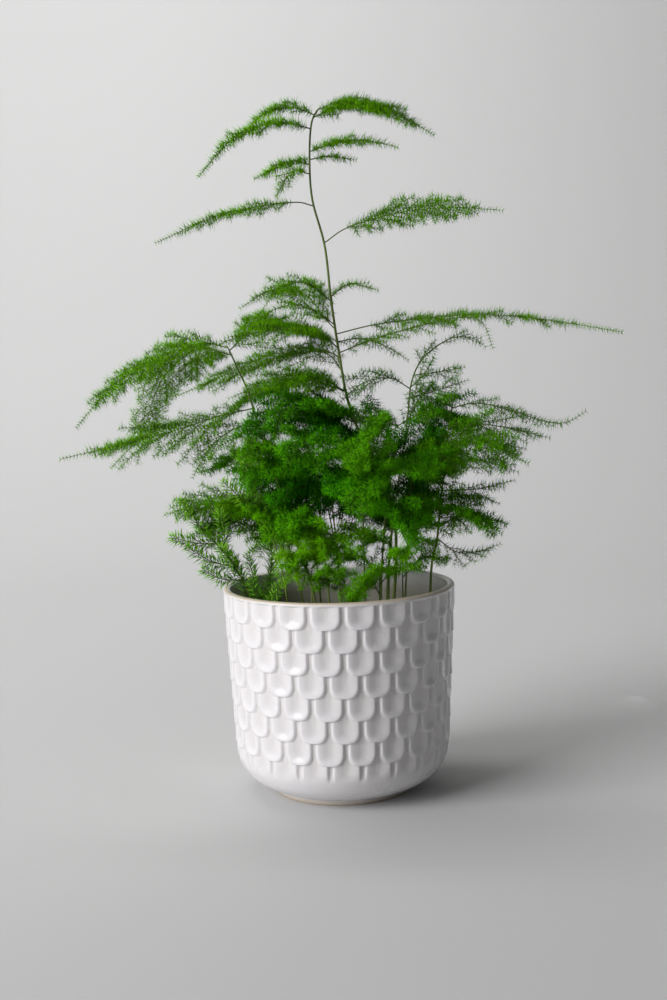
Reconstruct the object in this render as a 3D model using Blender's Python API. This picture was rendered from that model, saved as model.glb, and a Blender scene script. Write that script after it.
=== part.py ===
"""A lace fern in a glazed pot with a relief of overlapping scales.

Every leafy shoot is one closed body that stands in its own hole in the soil. Its stem, the
ribs of its fronds, their side sprays and the needles grow out of one another's faces.
"""
import math
from dataclasses import dataclass

import bmesh
import bpy
import numpy as np
from mathutils import Vector
from mathutils.geometry import delaunay_2d_cdt

for old in list(bpy.data.objects):
    bpy.data.objects.remove(old, do_unlink=True)

# Driving dimensions, in millimetres. The origin is the centre of the pot's foot.
MM = 0.001
GAP = 0.3

RIM_RADIUS = 75.0
POT_HEIGHT = 134.0
BELLY = ((45.0, 0.0), (46.0, 3.2), (54.5, 7.0), (62.0, 13.0), (66.6, 19.5))
WALL_FOOT = (68.6, 26.0)
RIM = ((75.0, 132.5), (73.8, 134.0), (71.2, 134.0))
INSIDE = ((69.2, 104.0), (64.0, 26.0), (57.5, 15.0), (44.0, 7.5))
INNER_RADIUS = 69.0

SCALES_ROUND = 22
SCALE_ROWS = 7
FIRST_SCALE_TURN = -6.8
SCALE_TOP_Z = 131.0
FIRST_SCALE_Z = 117.0
SCALE_PITCH_Z = 14.15
SCALE_HALF_WIDTH = 0.42
SCALE_ROUND_Z = 8.0
SCALE_BEND = (0.27, 1.9)
SCALE_LIP = 1.3
SCALE_RUN = 2.15

SOIL_RADIUS = 68.5
SOIL_SIDES = 24
SOIL_POINTS = 56
SOIL_SIDE = ((63.3, 26.4), (56.8, 15.5), (43.4, 7.9))
SOIL_Z = 108.0
SOIL_BUMP = 1.3
SOIL_MOUND = 3.0
SOIL_MOUND_RADIUS = 46.0
SOIL_LUMP = (9.0, 6.0, 11.0, 9.0)
ROOTED = 12.0
STRAIGHT_ABOVE_SOIL = 4.0
HOLE_ROOM = 0.45

NEEDLE_LENGTH = 4.6
COARSE_NEEDLE_LENGTH = 8.4
SEED = 41

# Growth of the plant: centre lines of stems, ribs and side sprays.
PATH_STEP = 1.0
STEM_CELL = 2.1
FINE_CELL = 1.4
NUDGES = (0, 7, -7, 14, -14, 21, -21, 28, -28, 36, -36, 45, -45)
SPRAYED = 0.82
SHORTEST_SPRAY = 3.5
SPRAY_VARIES = 0.24
SPRAY_ANGLE = (40.0, 24.0)
SPRAY_ANGLE_VARIES = 6.0
SPRAY_FORWARD = 0.2
SPRAY_DROOP = 0.10


@dataclass(frozen=True)
class Frond:
    """A flat spray on a rib: its points, the reach of its side sprays, and how these stand on it."""

    rib: tuple
    spread: float
    bare: float = 6.0
    roll: float = 0.0
    spacing: float = 3.4
    tilt: float = 11.0


@dataclass(frozen=True)
class Shoot:
    """A stem that rises out of the soil, its thickness, and its fronds or its own coarse needles."""

    stem: tuple
    radius: float
    fronds: tuple = ()
    coarse: bool = False
    bare: float = 8.0


NAMED_SHOOTS = {
    "tall_shoot": Shoot(
        ((35, 5), (38, 5, 150), (36, 5, 186), (19, 2, 224), (9, 0, 253), (4, 0, 285), (0, 0, 318),
         (-3, 0, 351), (-10, 0, 380), (-11, 0, 405), (-9, 0, 428), (-3, 0, 438)),
        1.15,
        (
            Frond(((-5, 0, 436), (11, -6, 439), (33, -15, 433), (48, -20, 426), (66, -25, 414)), 20, 1, 24),
            Frond(((-9, 0, 431), (8, 8, 438), (30, 14, 440), (53, 20, 435)), 20, 2, 16),
            Frond(((-8, 0, 433), (-22, 4, 438), (-41, 14, 435), (-57, 24, 422)), 15, 1, -18),
            Frond(((-11, 0, 424), (-26, -8, 427), (-44, -16, 423), (-59, -26, 414), (-78, -40, 391)),
                  15, 2, -18),
            Frond(((-11, 0, 410), (8, -10, 414), (26, -16, 413), (44, -20, 408)), 14, 1, 14),
            Frond(((-11, 0, 402), (-24, 16, 406), (-48, 32, 398)), 16, 2, -22),
            Frond(((-11, 0, 396), (-22, -14, 396), (-32, -30, 379)), 12, 4, -20),
            Frond(((-11, 0, 405), (2, 10, 408), (19, 15, 406)), 9, 4, 14),
            Frond(((-9, 0, 376), (-24, -5, 378), (-67, -20, 370), (-107, -30, 353)), 17, 14, -26),
            Frond(((-3, 0, 353), (13, -5, 362), (45, -15, 369), (75, -25, 370), (107, -30, 367)), 30, 17, 40),
            Frond(((1, 0, 316), (-17, -8, 328), (-40, -16, 322), (-57, -24, 312)), 17, 3, -26),
            Frond(((5, 0, 301), (-8, -10, 308), (-23, -18, 314), (-41, -24, 309)), 18, 4, -34),
            Frond(((6, 0, 286), (-9, -14, 296), (-32, -30, 298), (-58, -42, 294), (-84, -48, 283)),
                  21, 5, -30),
            Frond(((7, 0, 271), (-2, 12, 282), (-16, 24, 287), (-38, 36, 281)), 21, 3, -36),
            Frond(((8, 0, 258), (-9, -18, 267), (-33, -36, 269), (-64, -50, 257)), 24, 5, -30),
            Frond(((11, 2, 237), (-9, -18, 248), (-36, -44, 247), (-68, -62, 230)), 25, 6, -34),
            Frond(((14, 2, 227), (2, -22, 237), (-12, -40, 239), (-28, -54, 230)), 26, 4, -38),
            Frond(((1, 0, 298), (-7, 5, 306), (-26, 20, 322), (-50, 30, 325), (-64, 35, 313)), 34, 8, -16),
            Frond(((0, 0, 319), (12, -10, 326), (30, -20, 321)), 12, 1, 12),
            Frond(((8, 0, 258), (-18, 28, 266), (-52, 46, 258), (-84, 56, 236)), 30, 8, -24),
            Frond(((14, 1, 238), (0, -22, 250), (-22, -44, 252), (-44, -58, 238)), 24, 8, -20),
            Frond(((4, 0, 295), (25, 2, 300), (50, 6, 303), (93, -4, 305), (135, -16, 300), (180, -27, 291)),
                  20, 22, 20, 6.5, 20),
            Frond(((4, 0, 290), (18, 9, 292), (34, 15, 287), (50, 19, 277)), 14, 4, 30, 4.5),
            Frond(((6, 0, 279), (-3, 5, 284), (-28, 15, 283), (-62, 25, 274), (-106, 40, 257)), 34, 9, -26),
            Frond(((5, 0, 283), (26, -12, 291), (58, -18, 299), (82, -21, 303), (94, -23, 299),
                   (100, -25, 283)), 15, 6, 24, 3.8, 16),
        ),
    ),
    "left_arching_shoot": Shoot(
        ((-14, -8), (-19, -12, 140), (-29, -20, 173), (-36, -20, 200), (-45, -20, 229),
         (-54, -20, 261), (-60, -20, 276), (-66, -20, 290)),
        0.95,
        (
            Frond(((-65, -20, 288), (-82, -25, 291), (-111, -35, 281), (-136, -45, 265), (-157, -50, 242)),
                  30, 4, -24),
            Frond(((-64, -20, 286), (-46, 4, 302), (-20, 26, 299), (10, 44, 289)), 32, 5, 24),
            Frond(((-63, -20, 284), (-88, 16, 288), (-116, 50, 268), (-134, 70, 232), (-158, 82, 207)),
                  34, 18, 26),
            Frond(((-51, -20, 250), (-71, -25, 246), (-103, -40, 237), (-130, -50, 231), (-166, -61, 224)),
                  36, 6, -26),
            Frond(((-48, -20, 241), (-62, -34, 238), (-76, -42, 228), (-88, -47, 209)), 26, 5, -16),
            Frond(((-45, -20, 229), (-42, -36, 238), (-35, -50, 235)), 22, 5),
            Frond(((-39, -20, 210), (-58, 4, 218), (-86, 20, 208)), 26, 8, -28),
            Frond(((-42, -20, 218), (-44, -44, 228), (-52, -68, 220)), 24, 8),
        ),
    ),
    "right_lacy_shoot": Shoot(
        ((30, -7), (34, -7, 160), (41, -6, 205), (47, -3, 240), (50, 0, 262), (57, 2, 277), (70, 3, 288)),
        0.85,
        (
            Frond(((66, 4, 286), (78, 2, 291), (90, 0, 290), (98, -5, 284)), 14, 3, 24),
            Frond(((49, 5, 258), (37, 0, 266), (20, -6, 264), (4, -12, 252)), 24, 5, -26),
            Frond(((52, 5, 267), (66, 0, 269), (84, -10, 272)), 18, 5, 26),
            Frond(((49, 5, 252), (68, 20, 257), (90, 32, 263)), 20, 6, 30),
            Frond(((45, 5, 231), (28, 12, 241), (6, 18, 240)), 22, 6, -24),
            Frond(((54, 3, 272), (60, 12, 281), (68, 20, 290)), 11, 3, 16),
            Frond(((50, 0, 260), (58, -8, 268), (65, -14, 281)), 12, 2, 30),
            Frond(((43, -6, 216), (49, -13, 240), (54, -12, 262), (61, -13, 281)), 16, 12, 80, 4.5),
        ),
    ),
    "right_tiered_shoot": Shoot(
        ((58, -8), (60, -10, 145), (64, -10, 163), (67, -8, 188), (70, -5, 208), (73, -5, 233),
         (76, -5, 249)),
        0.95,
        (
            Frond(((75, -5, 246), (90, -10, 249), (108, -15, 245), (132, -23, 237), (145, -27, 236),
                   (157, -30, 243)), 17, 4, 22),
            Frond(((73, -5, 234), (98, -10, 235), (136, -20, 226)), 25, 4, 24),
            Frond(((72, -5, 223), (96, 10, 223), (126, 20, 217)), 25, 5, 28),
            Frond(((71, -5, 213), (92, -22, 213), (114, -32, 206)), 22, 5, 20),
            Frond(((68, -8, 194), (88, -20, 195), (112, -30, 201)), 16, 5, 24),
            Frond(((67, -8, 188), (90, 8, 188), (108, 20, 181)), 13, 5, 20),
            Frond(((66, -9, 176), (86, -2, 176), (109, 8, 170)), 16, 6, 22),
            Frond(((64, -10, 163), (76, -20, 155), (90, -29, 157), (102, -35, 162)), 16, 5, 20),
            Frond(((74, -5, 239), (64, -24, 245), (52, -42, 240)), 22, 5, -18),
            Frond(((67, -9, 180), (59, -34, 189), (46, -58, 184)), 23, 5, -30),
            Frond(((66, -9, 170), (74, -32, 178), (82, -54, 171)), 23, 4, 30),
            Frond(((70, -5, 206), (74, -30, 213), (73, -54, 205)), 21, 5, 20),
            Frond(((75, -5, 246), (71, -20, 254), (71, -36, 252)), 14, 3),
            Frond(((68, -8, 195), (61, -28, 204), (59, -48, 201)), 19, 5, -16),
            Frond(((62, -10, 157), (54, -30, 165), (51, -50, 160)), 20, 5, -16),
        ),
    ),
    "left_low_shoot": Shoot(
        ((-22, -2), (-27, -4, 140), (-34, -8, 168), (-42, -12, 186)),
        0.75,
        (
            Frond(((-40, -11, 183), (-61, -20, 190), (-85, -32, 191), (-106, -46, 187)), 32, 5, -20),
            Frond(((-36, -9, 175), (-49, -30, 180), (-59, -54, 172)), 28, 6, -14),
            Frond(((-38, -10, 179), (-56, 10, 188), (-72, 30, 186)), 25, 6, -30),
            Frond(((-33, -8, 163), (-45, -30, 176), (-56, -48, 179), (-66, -62, 172)), 25, 6, -34),
        ),
    ),
    "front_shoot": Shoot(
        ((26, -14), (28, -18, 150), (31, -28, 190), (33, -40, 212)),
        0.75,
        (
            Frond(((32, -36, 206), (26, -58, 211), (16, -76, 201), (13, -88, 184)), 22, 5),
            Frond(((33, -39, 211), (46, -62, 216), (60, -80, 210)), 24, 5, 12),
            Frond(((31, -30, 195), (12, -48, 204), (-8, -64, 200)), 24, 5, -14),
            Frond(((29, -21, 170), (46, -36, 180), (62, -52, 176)), 20, 6, 12),
            Frond(((29, -20, 163), (15, -38, 172), (-1, -54, 168)), 22, 5, -20),
        ),
    ),
    "front_left_shoot": Shoot(
        ((-6, -12), (-8, -16, 150), (-12, -24, 200), (-14, -32, 232)),
        0.75,
        (
            Frond(((-14, -31, 229), (-24, -54, 232), (-36, -80, 218)), 27, 5, -8),
            Frond(((-12, -25, 207), (-34, -44, 215), (-58, -60, 204)), 28, 5, -16),
            Frond(((-13, -27, 217), (6, -46, 226), (22, -66, 218)), 25, 5, 14),
            Frond(((-9, -19, 176), (-22, -40, 184), (-34, -62, 176)), 22, 6, -10),
        ),
    ),
    "coarse_shoot_over_rim": Shoot(
        ((-48, -10), (-56, -13, 127), (-62, -18, 142), (-69, -26, 156), (-78, -34, 169), (-87, -42, 182),
         (-95, -48, 196)),
        0.7,
        (
            Frond(((-66, -22, 150), (-80, -34, 156), (-94, -44, 167)), 0),
            Frond(((-72, -29, 161), (-74, -40, 174), (-79, -49, 189)), 0),
            Frond(((-64, -20, 146), (-66, -34, 155), (-72, -46, 166)), 0),
            Frond(((-61, -17, 141), (-74, -25, 143), (-85, -36, 151)), 0),
            Frond(((-76, -32, 166), (-90, -34, 168), (-104, -42, 173)), 0),
        ),
        True,
    ),
    "coarse_shoot_bushy": Shoot(
        ((-47, -24), (-45, -22, 131), (-42, -20, 156), (-44, -21, 168), (-47, -23, 182)),
        0.7,
        (
            Frond(((-46, -23, 124), (-52, -29, 136), (-56, -33, 157)), 0),
            Frond(((-46, -23, 121), (-41, -34, 130), (-36, -42, 142)), 0),
            Frond(((-43, -21, 146), (-39, -28, 155), (-37, -33, 167)), 0),
        ),
        True,
    ),
    "coarse_shoot_upper": Shoot(
        ((-31, -26), (-36, -30, 150), (-46, -36, 186), (-55, -42, 206), (-63, -46, 228)),
        0.7,
        (
            Frond(((-47, -37, 190), (-58, -46, 196), (-69, -52, 207)), 0),
            Frond(((-54, -41, 204), (-53, -50, 219), (-50, -56, 234)), 0),
        ),
        True,
        70.0,
    ),
}

# The dense middle of the plant: shoots on a spiral, each with an outward frond and two across it.
GOLDEN_ANGLE = 137.508
CLUMP_CENTRE = (16.0, 4.0)
CLUMP_RADIUS = 36.0
CLUMP_SHOOTS = 7
CLUMP_HEIGHT = (176.0, 256.0)
CLUMP_LEAN = (8.0, 17.0)
CLUMP_UPRIGHT_TO = 150.0
CLUMP_REACH = (58.0, 84.0)
CLUMP_SPREAD = 29.0
CLUMP_TIERS = ((0.0, 3.0, 1.0, 36.0), (104.0, 15.0, 0.8, -48.0), (-118.0, 31.0, 0.8, 44.0),
               (35.0, 47.0, 0.75, -38.0))
CLUMP_SPACING = 3.2
CLUMP_TILT = 40.0
CLUMP_RISE = 9.0
CLUMP_FALL = 15.0
HEADING_VARIES = 12.0

# Short young shoots low in the front of the pot.
TUFT_ROOTS = ((40.0, -32.0, 156.0), (10.0, -36.0, 138.0), (-17.0, -38.0, 152.0), (25.0, -44.0, 148.0))
TUFT_HEADINGS = ((200.0, 272.0, 352.0), (344.0, 206.0, 262.0), (354.0, 196.0, 284.0), (186.0, 342.0, 255.0))
TUFT_REACH = 28.0
TUFT_SPREAD = 21.0
TUFT_RISE = 13.0
TUFT_ROLL = 24.0
TUFT_FALL = 4.0
BARE = 5.0


def heading_vector(degrees):
    """A level unit vector; 0 degrees is +X and 90 is +Y."""
    return np.array([math.cos(math.radians(degrees)), math.sin(math.radians(degrees)), 0.0])


def between(ends, share):
    """The value a share of the way from one end to the other."""
    return ends[0] + (ends[1] - ends[0]) * share


def arching_frond(base, heading, reach, rise, fall, spread, *stance):
    """A frond that leaves its base level, rises to its middle and falls to its tip."""
    out = heading_vector(heading)
    middle = base + out * reach * 0.5 + [0, 0, rise]
    tip = base + out * reach + [0, 0, rise - fall]
    return Frond((tuple(base), tuple(middle), tuple(tip)), spread, BARE, *stance)


def clump_shoots():
    """The shoots of the dense middle, spaced by the golden angle and turned a little at random."""
    made = {}
    rng = np.random.default_rng(SEED)
    for i in range(CLUMP_SHOOTS):
        around, tall, reach, lean = rng.uniform(size=4)
        heading = i * GOLDEN_ANGLE + HEADING_VARIES * (2.0 * around - 1.0)
        out = heading_vector(heading)
        root = np.array([*CLUMP_CENTRE, 0.0]) + out * CLUMP_RADIUS * math.sqrt((i + 0.6) / CLUMP_SHOOTS)
        head = root + out * between(CLUMP_LEAN, lean) + [0, 0, between(CLUMP_HEIGHT, tall)]
        upright = root + out * 3.0 + [0, 0, CLUMP_UPRIGHT_TO]
        length = between(CLUMP_REACH, reach)
        fronds = [
            arching_frond([*head[:2], max(head[2] - drop, CLUMP_UPRIGHT_TO)], heading + turn, length * share,
                          CLUMP_RISE, CLUMP_FALL, CLUMP_SPREAD, roll, CLUMP_SPACING, CLUMP_TILT)
            for turn, drop, share, roll in CLUMP_TIERS
        ]
        stem = (tuple(root[:2]), tuple(upright), tuple(head))
        made[f"clump_shoot_{i + 1}"] = Shoot(stem, 0.7, tuple(fronds))
    return made


def tuft_shoots():
    """The short shoots in front, each with three small fronds."""
    made = {}
    for i, ((x, y, top), headings) in enumerate(zip(TUFT_ROOTS, TUFT_HEADINGS)):
        head = np.array([x, y - 2.0, top])
        fronds = [
            arching_frond(head - [0, 0, 2.0 + 6.0 * k], heading, TUFT_REACH, TUFT_RISE, TUFT_FALL,
                          TUFT_SPREAD, TUFT_ROLL)
            for k, heading in enumerate(headings)
        ]
        made[f"low_tuft_{i + 1}"] = Shoot(((x, y), tuple(head)), 0.6, tuple(fronds))
    return made


def curve_through(points, step=PATH_STEP):
    """Points one step apart on a smooth Catmull-Rom curve through the given ones."""
    p = np.array(points, float)
    p = np.vstack([2 * p[0] - p[1], p, 2 * p[-1] - p[-2]])
    t = np.linspace(0, 1, 24, endpoint=False)[:, None]
    spans = [
        0.5 * (2 * b + (c - a) * t + (2 * a - 5 * b + 4 * c - d) * t**2 + (3 * b - a - 3 * c + d) * t**3)
        for a, b, c, d in zip(p, p[1:], p[2:], p[3:])
    ]
    return resampled(np.vstack([*spans, p[-2:-1]]), step)


def resampled(fine, step):
    """The same line with its points an even step apart."""
    along = arc_length(fine)
    at = np.linspace(0, along[-1], max(2, round(along[-1] / step) + 1))
    return np.stack([np.interp(at, along, fine[:, k]) for k in range(3)], 1)


def arc_length(line):
    """The distance of each point from the line's start, along the line."""
    return np.concatenate([[0.0], np.cumsum(np.linalg.norm(np.diff(line, axis=0), axis=1))])


def at_length(line, s):
    """The line's point and unit direction at a distance along it."""
    along = arc_length(line)
    point = np.array([np.interp(s, along, line[:, k]) for k in range(3)])
    i = int(np.clip(np.searchsorted(along, s), 1, len(line) - 1))
    way = line[min(i + 1, len(line) - 1)] - line[max(i - 2, 0)]
    return point, way / np.linalg.norm(way)


def turned(line, degrees, about=None):
    """The line turned about a vertical, by default the one through its first point."""
    c, s = math.cos(math.radians(degrees)), math.sin(math.radians(degrees))
    centre = line[0] if about is None else about
    return centre + (line - centre) @ np.array([[c, s, 0.0], [-s, c, 0.0], [0.0, 0.0, 1.0]])


class Room:
    """Which small cubes of space hold which line, so that a new line can be kept clear of the rest."""

    def __init__(self, cell):
        self.cell = cell
        self.taken = {}
        self.around = [(i, j, k) for i in (-1, 0, 1) for j in (-1, 0, 1) for k in (-1, 0, 1)]

    def claim(self, points, owner):
        """The cubes along these points belong to this owner from now on."""
        for key in {tuple(c) for c in np.floor(points / self.cell).astype(int)}:
            self.taken.setdefault(key, set()).add(owner)

    def free(self, points, ignore=()):
        """True if no cube on or next to these points belongs to anyone outside ignore."""
        for x, y, z in {tuple(c) for c in np.floor(points / self.cell).astype(int)}:
            for i, j, k in self.around:
                if self.taken.get((x + i, y + j, z + k), set()) - set(ignore):
                    return False
        return True


def soil_height(x, y):
    """The soil's surface: a low mound with a coarse ripple, which dies out at the wall, and one lump."""
    away = math.hypot(x, y)
    ripple = SOIL_BUMP * (math.sin(0.21 * x + 0.6) * math.cos(0.24 * y) + 0.5 * math.sin(0.33 * y - 0.2 * x))
    mound = SOIL_MOUND * math.exp(-((away / SOIL_MOUND_RADIUS) ** 2))
    lump_x, lump_y, lump_z, lump_r = SOIL_LUMP
    lump = lump_z * math.exp(-((x - lump_x) ** 2 + (y - lump_y) ** 2) / lump_r**2)
    return SOIL_Z + mound + ripple * (1.0 - (away / INNER_RADIUS) ** 2) + lump


def stem_line(shoot):
    """The stem's centre line: straight up out of the soil, then its own smooth curve."""
    x, y = shoot.stem[0]
    ground = soil_height(x, y)
    start = (x, y, ground + STRAIGHT_ABOVE_SOIL)
    rooted = np.array([(x, y, z) for z in np.arange(ground - ROOTED, start[2] - 0.5, 2.0)])
    return np.vstack([rooted, curve_through([start, *shoot.stem[1:]])])


def grown(shoots):
    """Each shoot's stem line and rib lines, turned about their roots where they would meet another's."""
    room = Room(STEM_CELL)
    plants = {}
    turns = {}
    for name, shoot in shoots.items():
        line = stem_line(shoot)
        turns[name] = next((n for n in NUDGES if room.free(turned(line, n))), 0)
        plants[name] = (turned(line, turns[name]), [])
        room.claim(plants[name][0], name)
    for name, shoot in shoots.items():
        stem, ribs = plants[name]
        for number, frond in enumerate(shoot.fronds):
            route = turned(np.array(frond.rib, float), turns[name], stem[0])
            joint = stem[np.argmin(np.linalg.norm(stem - route[0], axis=1))]
            line = curve_through([joint, *route[1:]])
            tries = [turned(line, n) for n in NUDGES]
            clear = (t for t in tries
                     if room.free(t[9:]) and room.free(t[4:], (name,)) and in_open_air(t[3:]))
            line = next(clear, line)
            room.claim(line[3:], f"{name}/{number}")
            ribs.append(line)
    return plants


def side_axis(line, roll):
    """The level direction square to a rib's run, tipped by the frond's roll."""
    chord = line[-1] - line[0]
    level = np.array([-chord[1], chord[0], 0.0])
    level /= max(np.linalg.norm(level), 1e-6)
    along = chord / np.linalg.norm(chord)
    lift = np.cross(along, level)
    return math.cos(math.radians(roll)) * level + math.sin(math.radians(roll)) * lift


def spray_profile(share):
    """The length of a frond's side sprays along its rib, as a share of the longest: broad, then tapering."""
    return np.minimum(1.0, 0.55 + 2.0 * share) * (1.0 - share) ** 0.5


def side_sprays(frond, line, seed):
    """The side sprays of a frond, as (distance along the rib, line): alternate, swept forward, a bit bent."""
    length = arc_length(line)[-1]
    side = side_axis(line, frond.roll)
    count = max(2, int((length - frond.bare) * SPRAYED / frond.spacing))
    draws = np.random.default_rng(seed).uniform(-1, 1, size=(count, 3))
    found = []
    for k, (stretch, tilt, sweep) in enumerate(draws):
        share = (k + 0.4) / count
        s = frond.bare + share * (length - frond.bare) * SPRAYED
        base, way = at_length(line, s)
        reach = max(SHORTEST_SPRAY, frond.spread * spray_profile(share) * (1.0 + SPRAY_VARIES * stretch))
        angle = math.radians(between(SPRAY_ANGLE, share) + SPRAY_ANGLE_VARIES * sweep)
        hand = side if k % 2 else -side
        lift = np.cross(side, way) * math.sin(math.radians(frond.tilt * tilt))
        out = math.cos(angle) * way + math.sin(angle) * hand + lift
        out /= np.linalg.norm(out)
        t = np.linspace(0, 1, max(4, int(reach / PATH_STEP)))[:, None]
        bend = (way * SPRAY_FORWARD - np.array([0.0, 0.0, SPRAY_DROOP])) * reach
        found.append((s, base + out * reach * t + bend * t**2))
    return found


# Solid growth: tubes whose faces open into needles and side shoots, so that a shoot is one closed body.
STEM_SIDES = 4
RIB_SIDES = 3
STEM_RING_STEP = 34.0
RING_STEP = 26.0
NO_COLLAR_RUN = 7.0
RIB_RADIUS = 0.55
SPRAY_RADIUS = 0.42
TIP_SHARE = 0.62
STEM_TIP_SHARE = 0.6
COLLAR = 3.0
KEPT_SPACING = 28.0
SPRAY_OFFSET = 2
WHORL_LENGTH = 1.3
WHORL_STEP = 15.0
RIB_WHORL_STEP = 28.0
TIP_WHORL = 3.4
COARSE_WHORL_LENGTH = 1.7
COARSE_WHORL_STEP = 9.5
NEEDLE_LEAN = (30.0, 47.0)
NEEDLE_LEAN_VARIES = 7.0
NEEDLE_FAN = 0.5
NEEDLE_LENGTH_VARIES = 0.12


def carried_frame(axis, way):
    """A unit vector square to way, as near as can be to the last ring's axis."""
    flat = axis - way * (axis @ way)
    if np.linalg.norm(flat) < 1e-6:
        flat = np.cross(way, [0.3, 0.5, 0.8])
    return flat / np.linalg.norm(flat)


class Body:
    """A closed mesh that grows: its open triangles are kept, and can be traded for a shoot or a needle."""

    def __init__(self):
        self.points = []
        self.faces = set()

    def corner(self, point):
        """Adds a vertex and returns its number."""
        self.points.append(np.asarray(point, float))
        return len(self.points) - 1

    def ring(self, centre, way, axis, radius, sides):
        """A ring of vertices square to way, counter-clockwise seen from its tip."""
        other = np.cross(way, axis)
        turns = 2 * math.pi * np.arange(sides) / sides
        return [self.corner(centre + radius * (math.cos(a) * axis + math.sin(a) * other)) for a in turns]

    def bridge(self, low, high):
        """Joins two rings with pairs of triangles, and returns those triangles."""
        made = []
        for i in range(len(low)):
            j = (i + 1) % len(low)
            made += [(low[i], low[j], high[j]), (low[i], high[j], high[i])]
        self.faces.update(made)
        return made

    def close(self, ring, apex):
        """Closes a ring, or an open triangle, to a point."""
        tip = self.corner(apex)
        self.faces.update((ring[i], ring[(i + 1) % len(ring)], tip) for i in range(len(ring)))

    def centre(self, face):
        """The middle of a face."""
        return sum(self.points[v] for v in face) / len(face)

    def outward(self, face):
        """The unit normal of a face."""
        a, b, c = (self.points[v] for v in face[:3])
        n = np.cross(b - a, c - a)
        return n / np.linalg.norm(n)


def needle_way(body, face, way, lean, spread):
    """A needle's direction from a face: outwards, swept forward, and fanned to its own half of the face."""
    out = carried_frame(body.outward(face), way)
    fan = np.cross(way, out) * spread
    aim = out + fan
    aim /= np.linalg.norm(aim)
    return math.cos(lean) * aim + math.sin(lean) * way


@dataclass
class Growth:
    """A line to be grown: where along it the whorls lie, and which lines leave it there."""

    line: np.ndarray
    owner: str
    radius: float
    tip_radius: float
    sides: int
    whorls: list
    branches: dict
    needle: float
    ring_step: float
    whorl_length: float = WHORL_LENGTH
    straight: float = 0.0
    every: int = 2


def stations(growth, first):
    """The distances along a line at which it has rings, as (distance, whorl that starts there or None)."""
    end = arc_length(growth.line)[-1]
    half = growth.whorl_length / 2
    near_start = any(whorl - half < first + NO_COLLAR_RUN for whorl in growth.whorls)
    mark = max(first, growth.straight)
    found = [] if near_start and not growth.straight else [(mark, None)]
    if not found:
        mark -= 1.0
    for whorl in sorted(growth.whorls):
        if whorl - half < mark + 0.6 or whorl + half > end - 0.8:
            continue
        found += plain_rings(mark, whorl - half, growth.ring_step)
        found += [(whorl - half, whorl), (whorl + half, None)]
        mark = whorl + half
    return found + plain_rings(mark, end - 2.0, growth.ring_step)


def plain_rings(start, stop, step):
    """Evenly spaced rings strictly between two distances, about a step apart."""
    count = max(0, int((stop - start) / step))
    return [(start + (stop - start) * (i + 1) / (count + 1), None) for i in range(count)]


def grow(body, growth, base, room, rng):
    """Grows a line as a tube from an open triangle, or from the ground if base is None."""
    end = arc_length(growth.line)[-1]
    if base is None:
        centre, way = at_length(growth.line, 0.0)
        axis = carried_frame(np.array([1.0, 0.0, 0.0]), way)
        ring = body.ring(centre, way, axis, growth.radius, growth.sides)
        body.faces.add(tuple(reversed(ring)))
        first = 1.0
    else:
        ring = list(base)
        centre, way = at_length(growth.line, COLLAR)
        axis = carried_frame(body.points[base[0]] - body.centre(base), way)
        first = COLLAR
    opened = None
    for s, whorl in stations(growth, first):
        centre, way = at_length(growth.line, s)
        axis = carried_frame(axis, way)
        radius = growth.radius + (growth.tip_radius - growth.radius) * s / end
        above = body.ring(centre, way, axis, radius, growth.sides)
        faces = body.bridge(ring, above)
        if opened is not None:
            open_whorl(body, growth, opened, faces, way, room, rng)
        opened = whorl
        ring = above
    body.close(ring, growth.line[-1])


def open_whorl(body, growth, whorl, faces, way, room, rng):
    """Trades a whorl's faces for the lines that leave it and for needles."""
    free = list(range(len(faces)))
    for branch in growth.branches.get(whorl, ()):
        out = at_length(branch.line, COLLAR)[1]
        best = max(free, key=lambda n: body.outward(faces[n]) @ out)
        free = [n for n in free if n // 2 != best // 2]
        body.faces.discard(faces[best])
        grow(body, branch, faces[best], room, rng)
    if growth.needle:
        for n in free[int(whorl) % growth.every :: growth.every]:
            add_needle(body, faces[n], n % 2, way, growth.needle, room, growth.owner, rng)


def add_needle(body, face, half, way, length, room, owner, rng):
    """Grows a needle from a face, fanned to the face's own half of its side, if it has room for one."""
    jitter, stretch = rng.uniform(-1, 1, size=2)
    lean = math.radians((NEEDLE_LEAN[half]) + NEEDLE_LEAN_VARIES * jitter)
    aim = needle_way(body, face, way, lean, NEEDLE_FAN * (1 - 2 * half))
    start = body.centre(face)
    reach = length * (1.0 + NEEDLE_LENGTH_VARIES * stretch)
    points = start + aim * np.arange(1.8, reach + 0.7, 0.5)[:, None]
    if room.free(points, (owner,)) and in_open_air(points):
        room.claim(points[:-1], owner)
        body.faces.discard(face)
        body.close(face, start + aim * reach)


def in_open_air(points):
    """True if the points keep clear of the soil and of the pot's wall."""
    for x, y, z in points:
        away = math.hypot(x, y)
        if away < RIM_RADIUS + 2.0 and z < soil_height(x, y) + 1.6:
            return False
        if INNER_RADIUS - 1.5 < away < RIM_RADIUS + 1.5 and z < POT_HEIGHT + 1.5:
            return False
    return True


def whorl_marks(first, last, step):
    """Distances of whorls from first to last, about a step apart, the last one close to the end."""
    count = max(1, round((last - first) / step))
    return [first + (last - first) * (k + 0.7) / count for k in range(count)]


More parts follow.
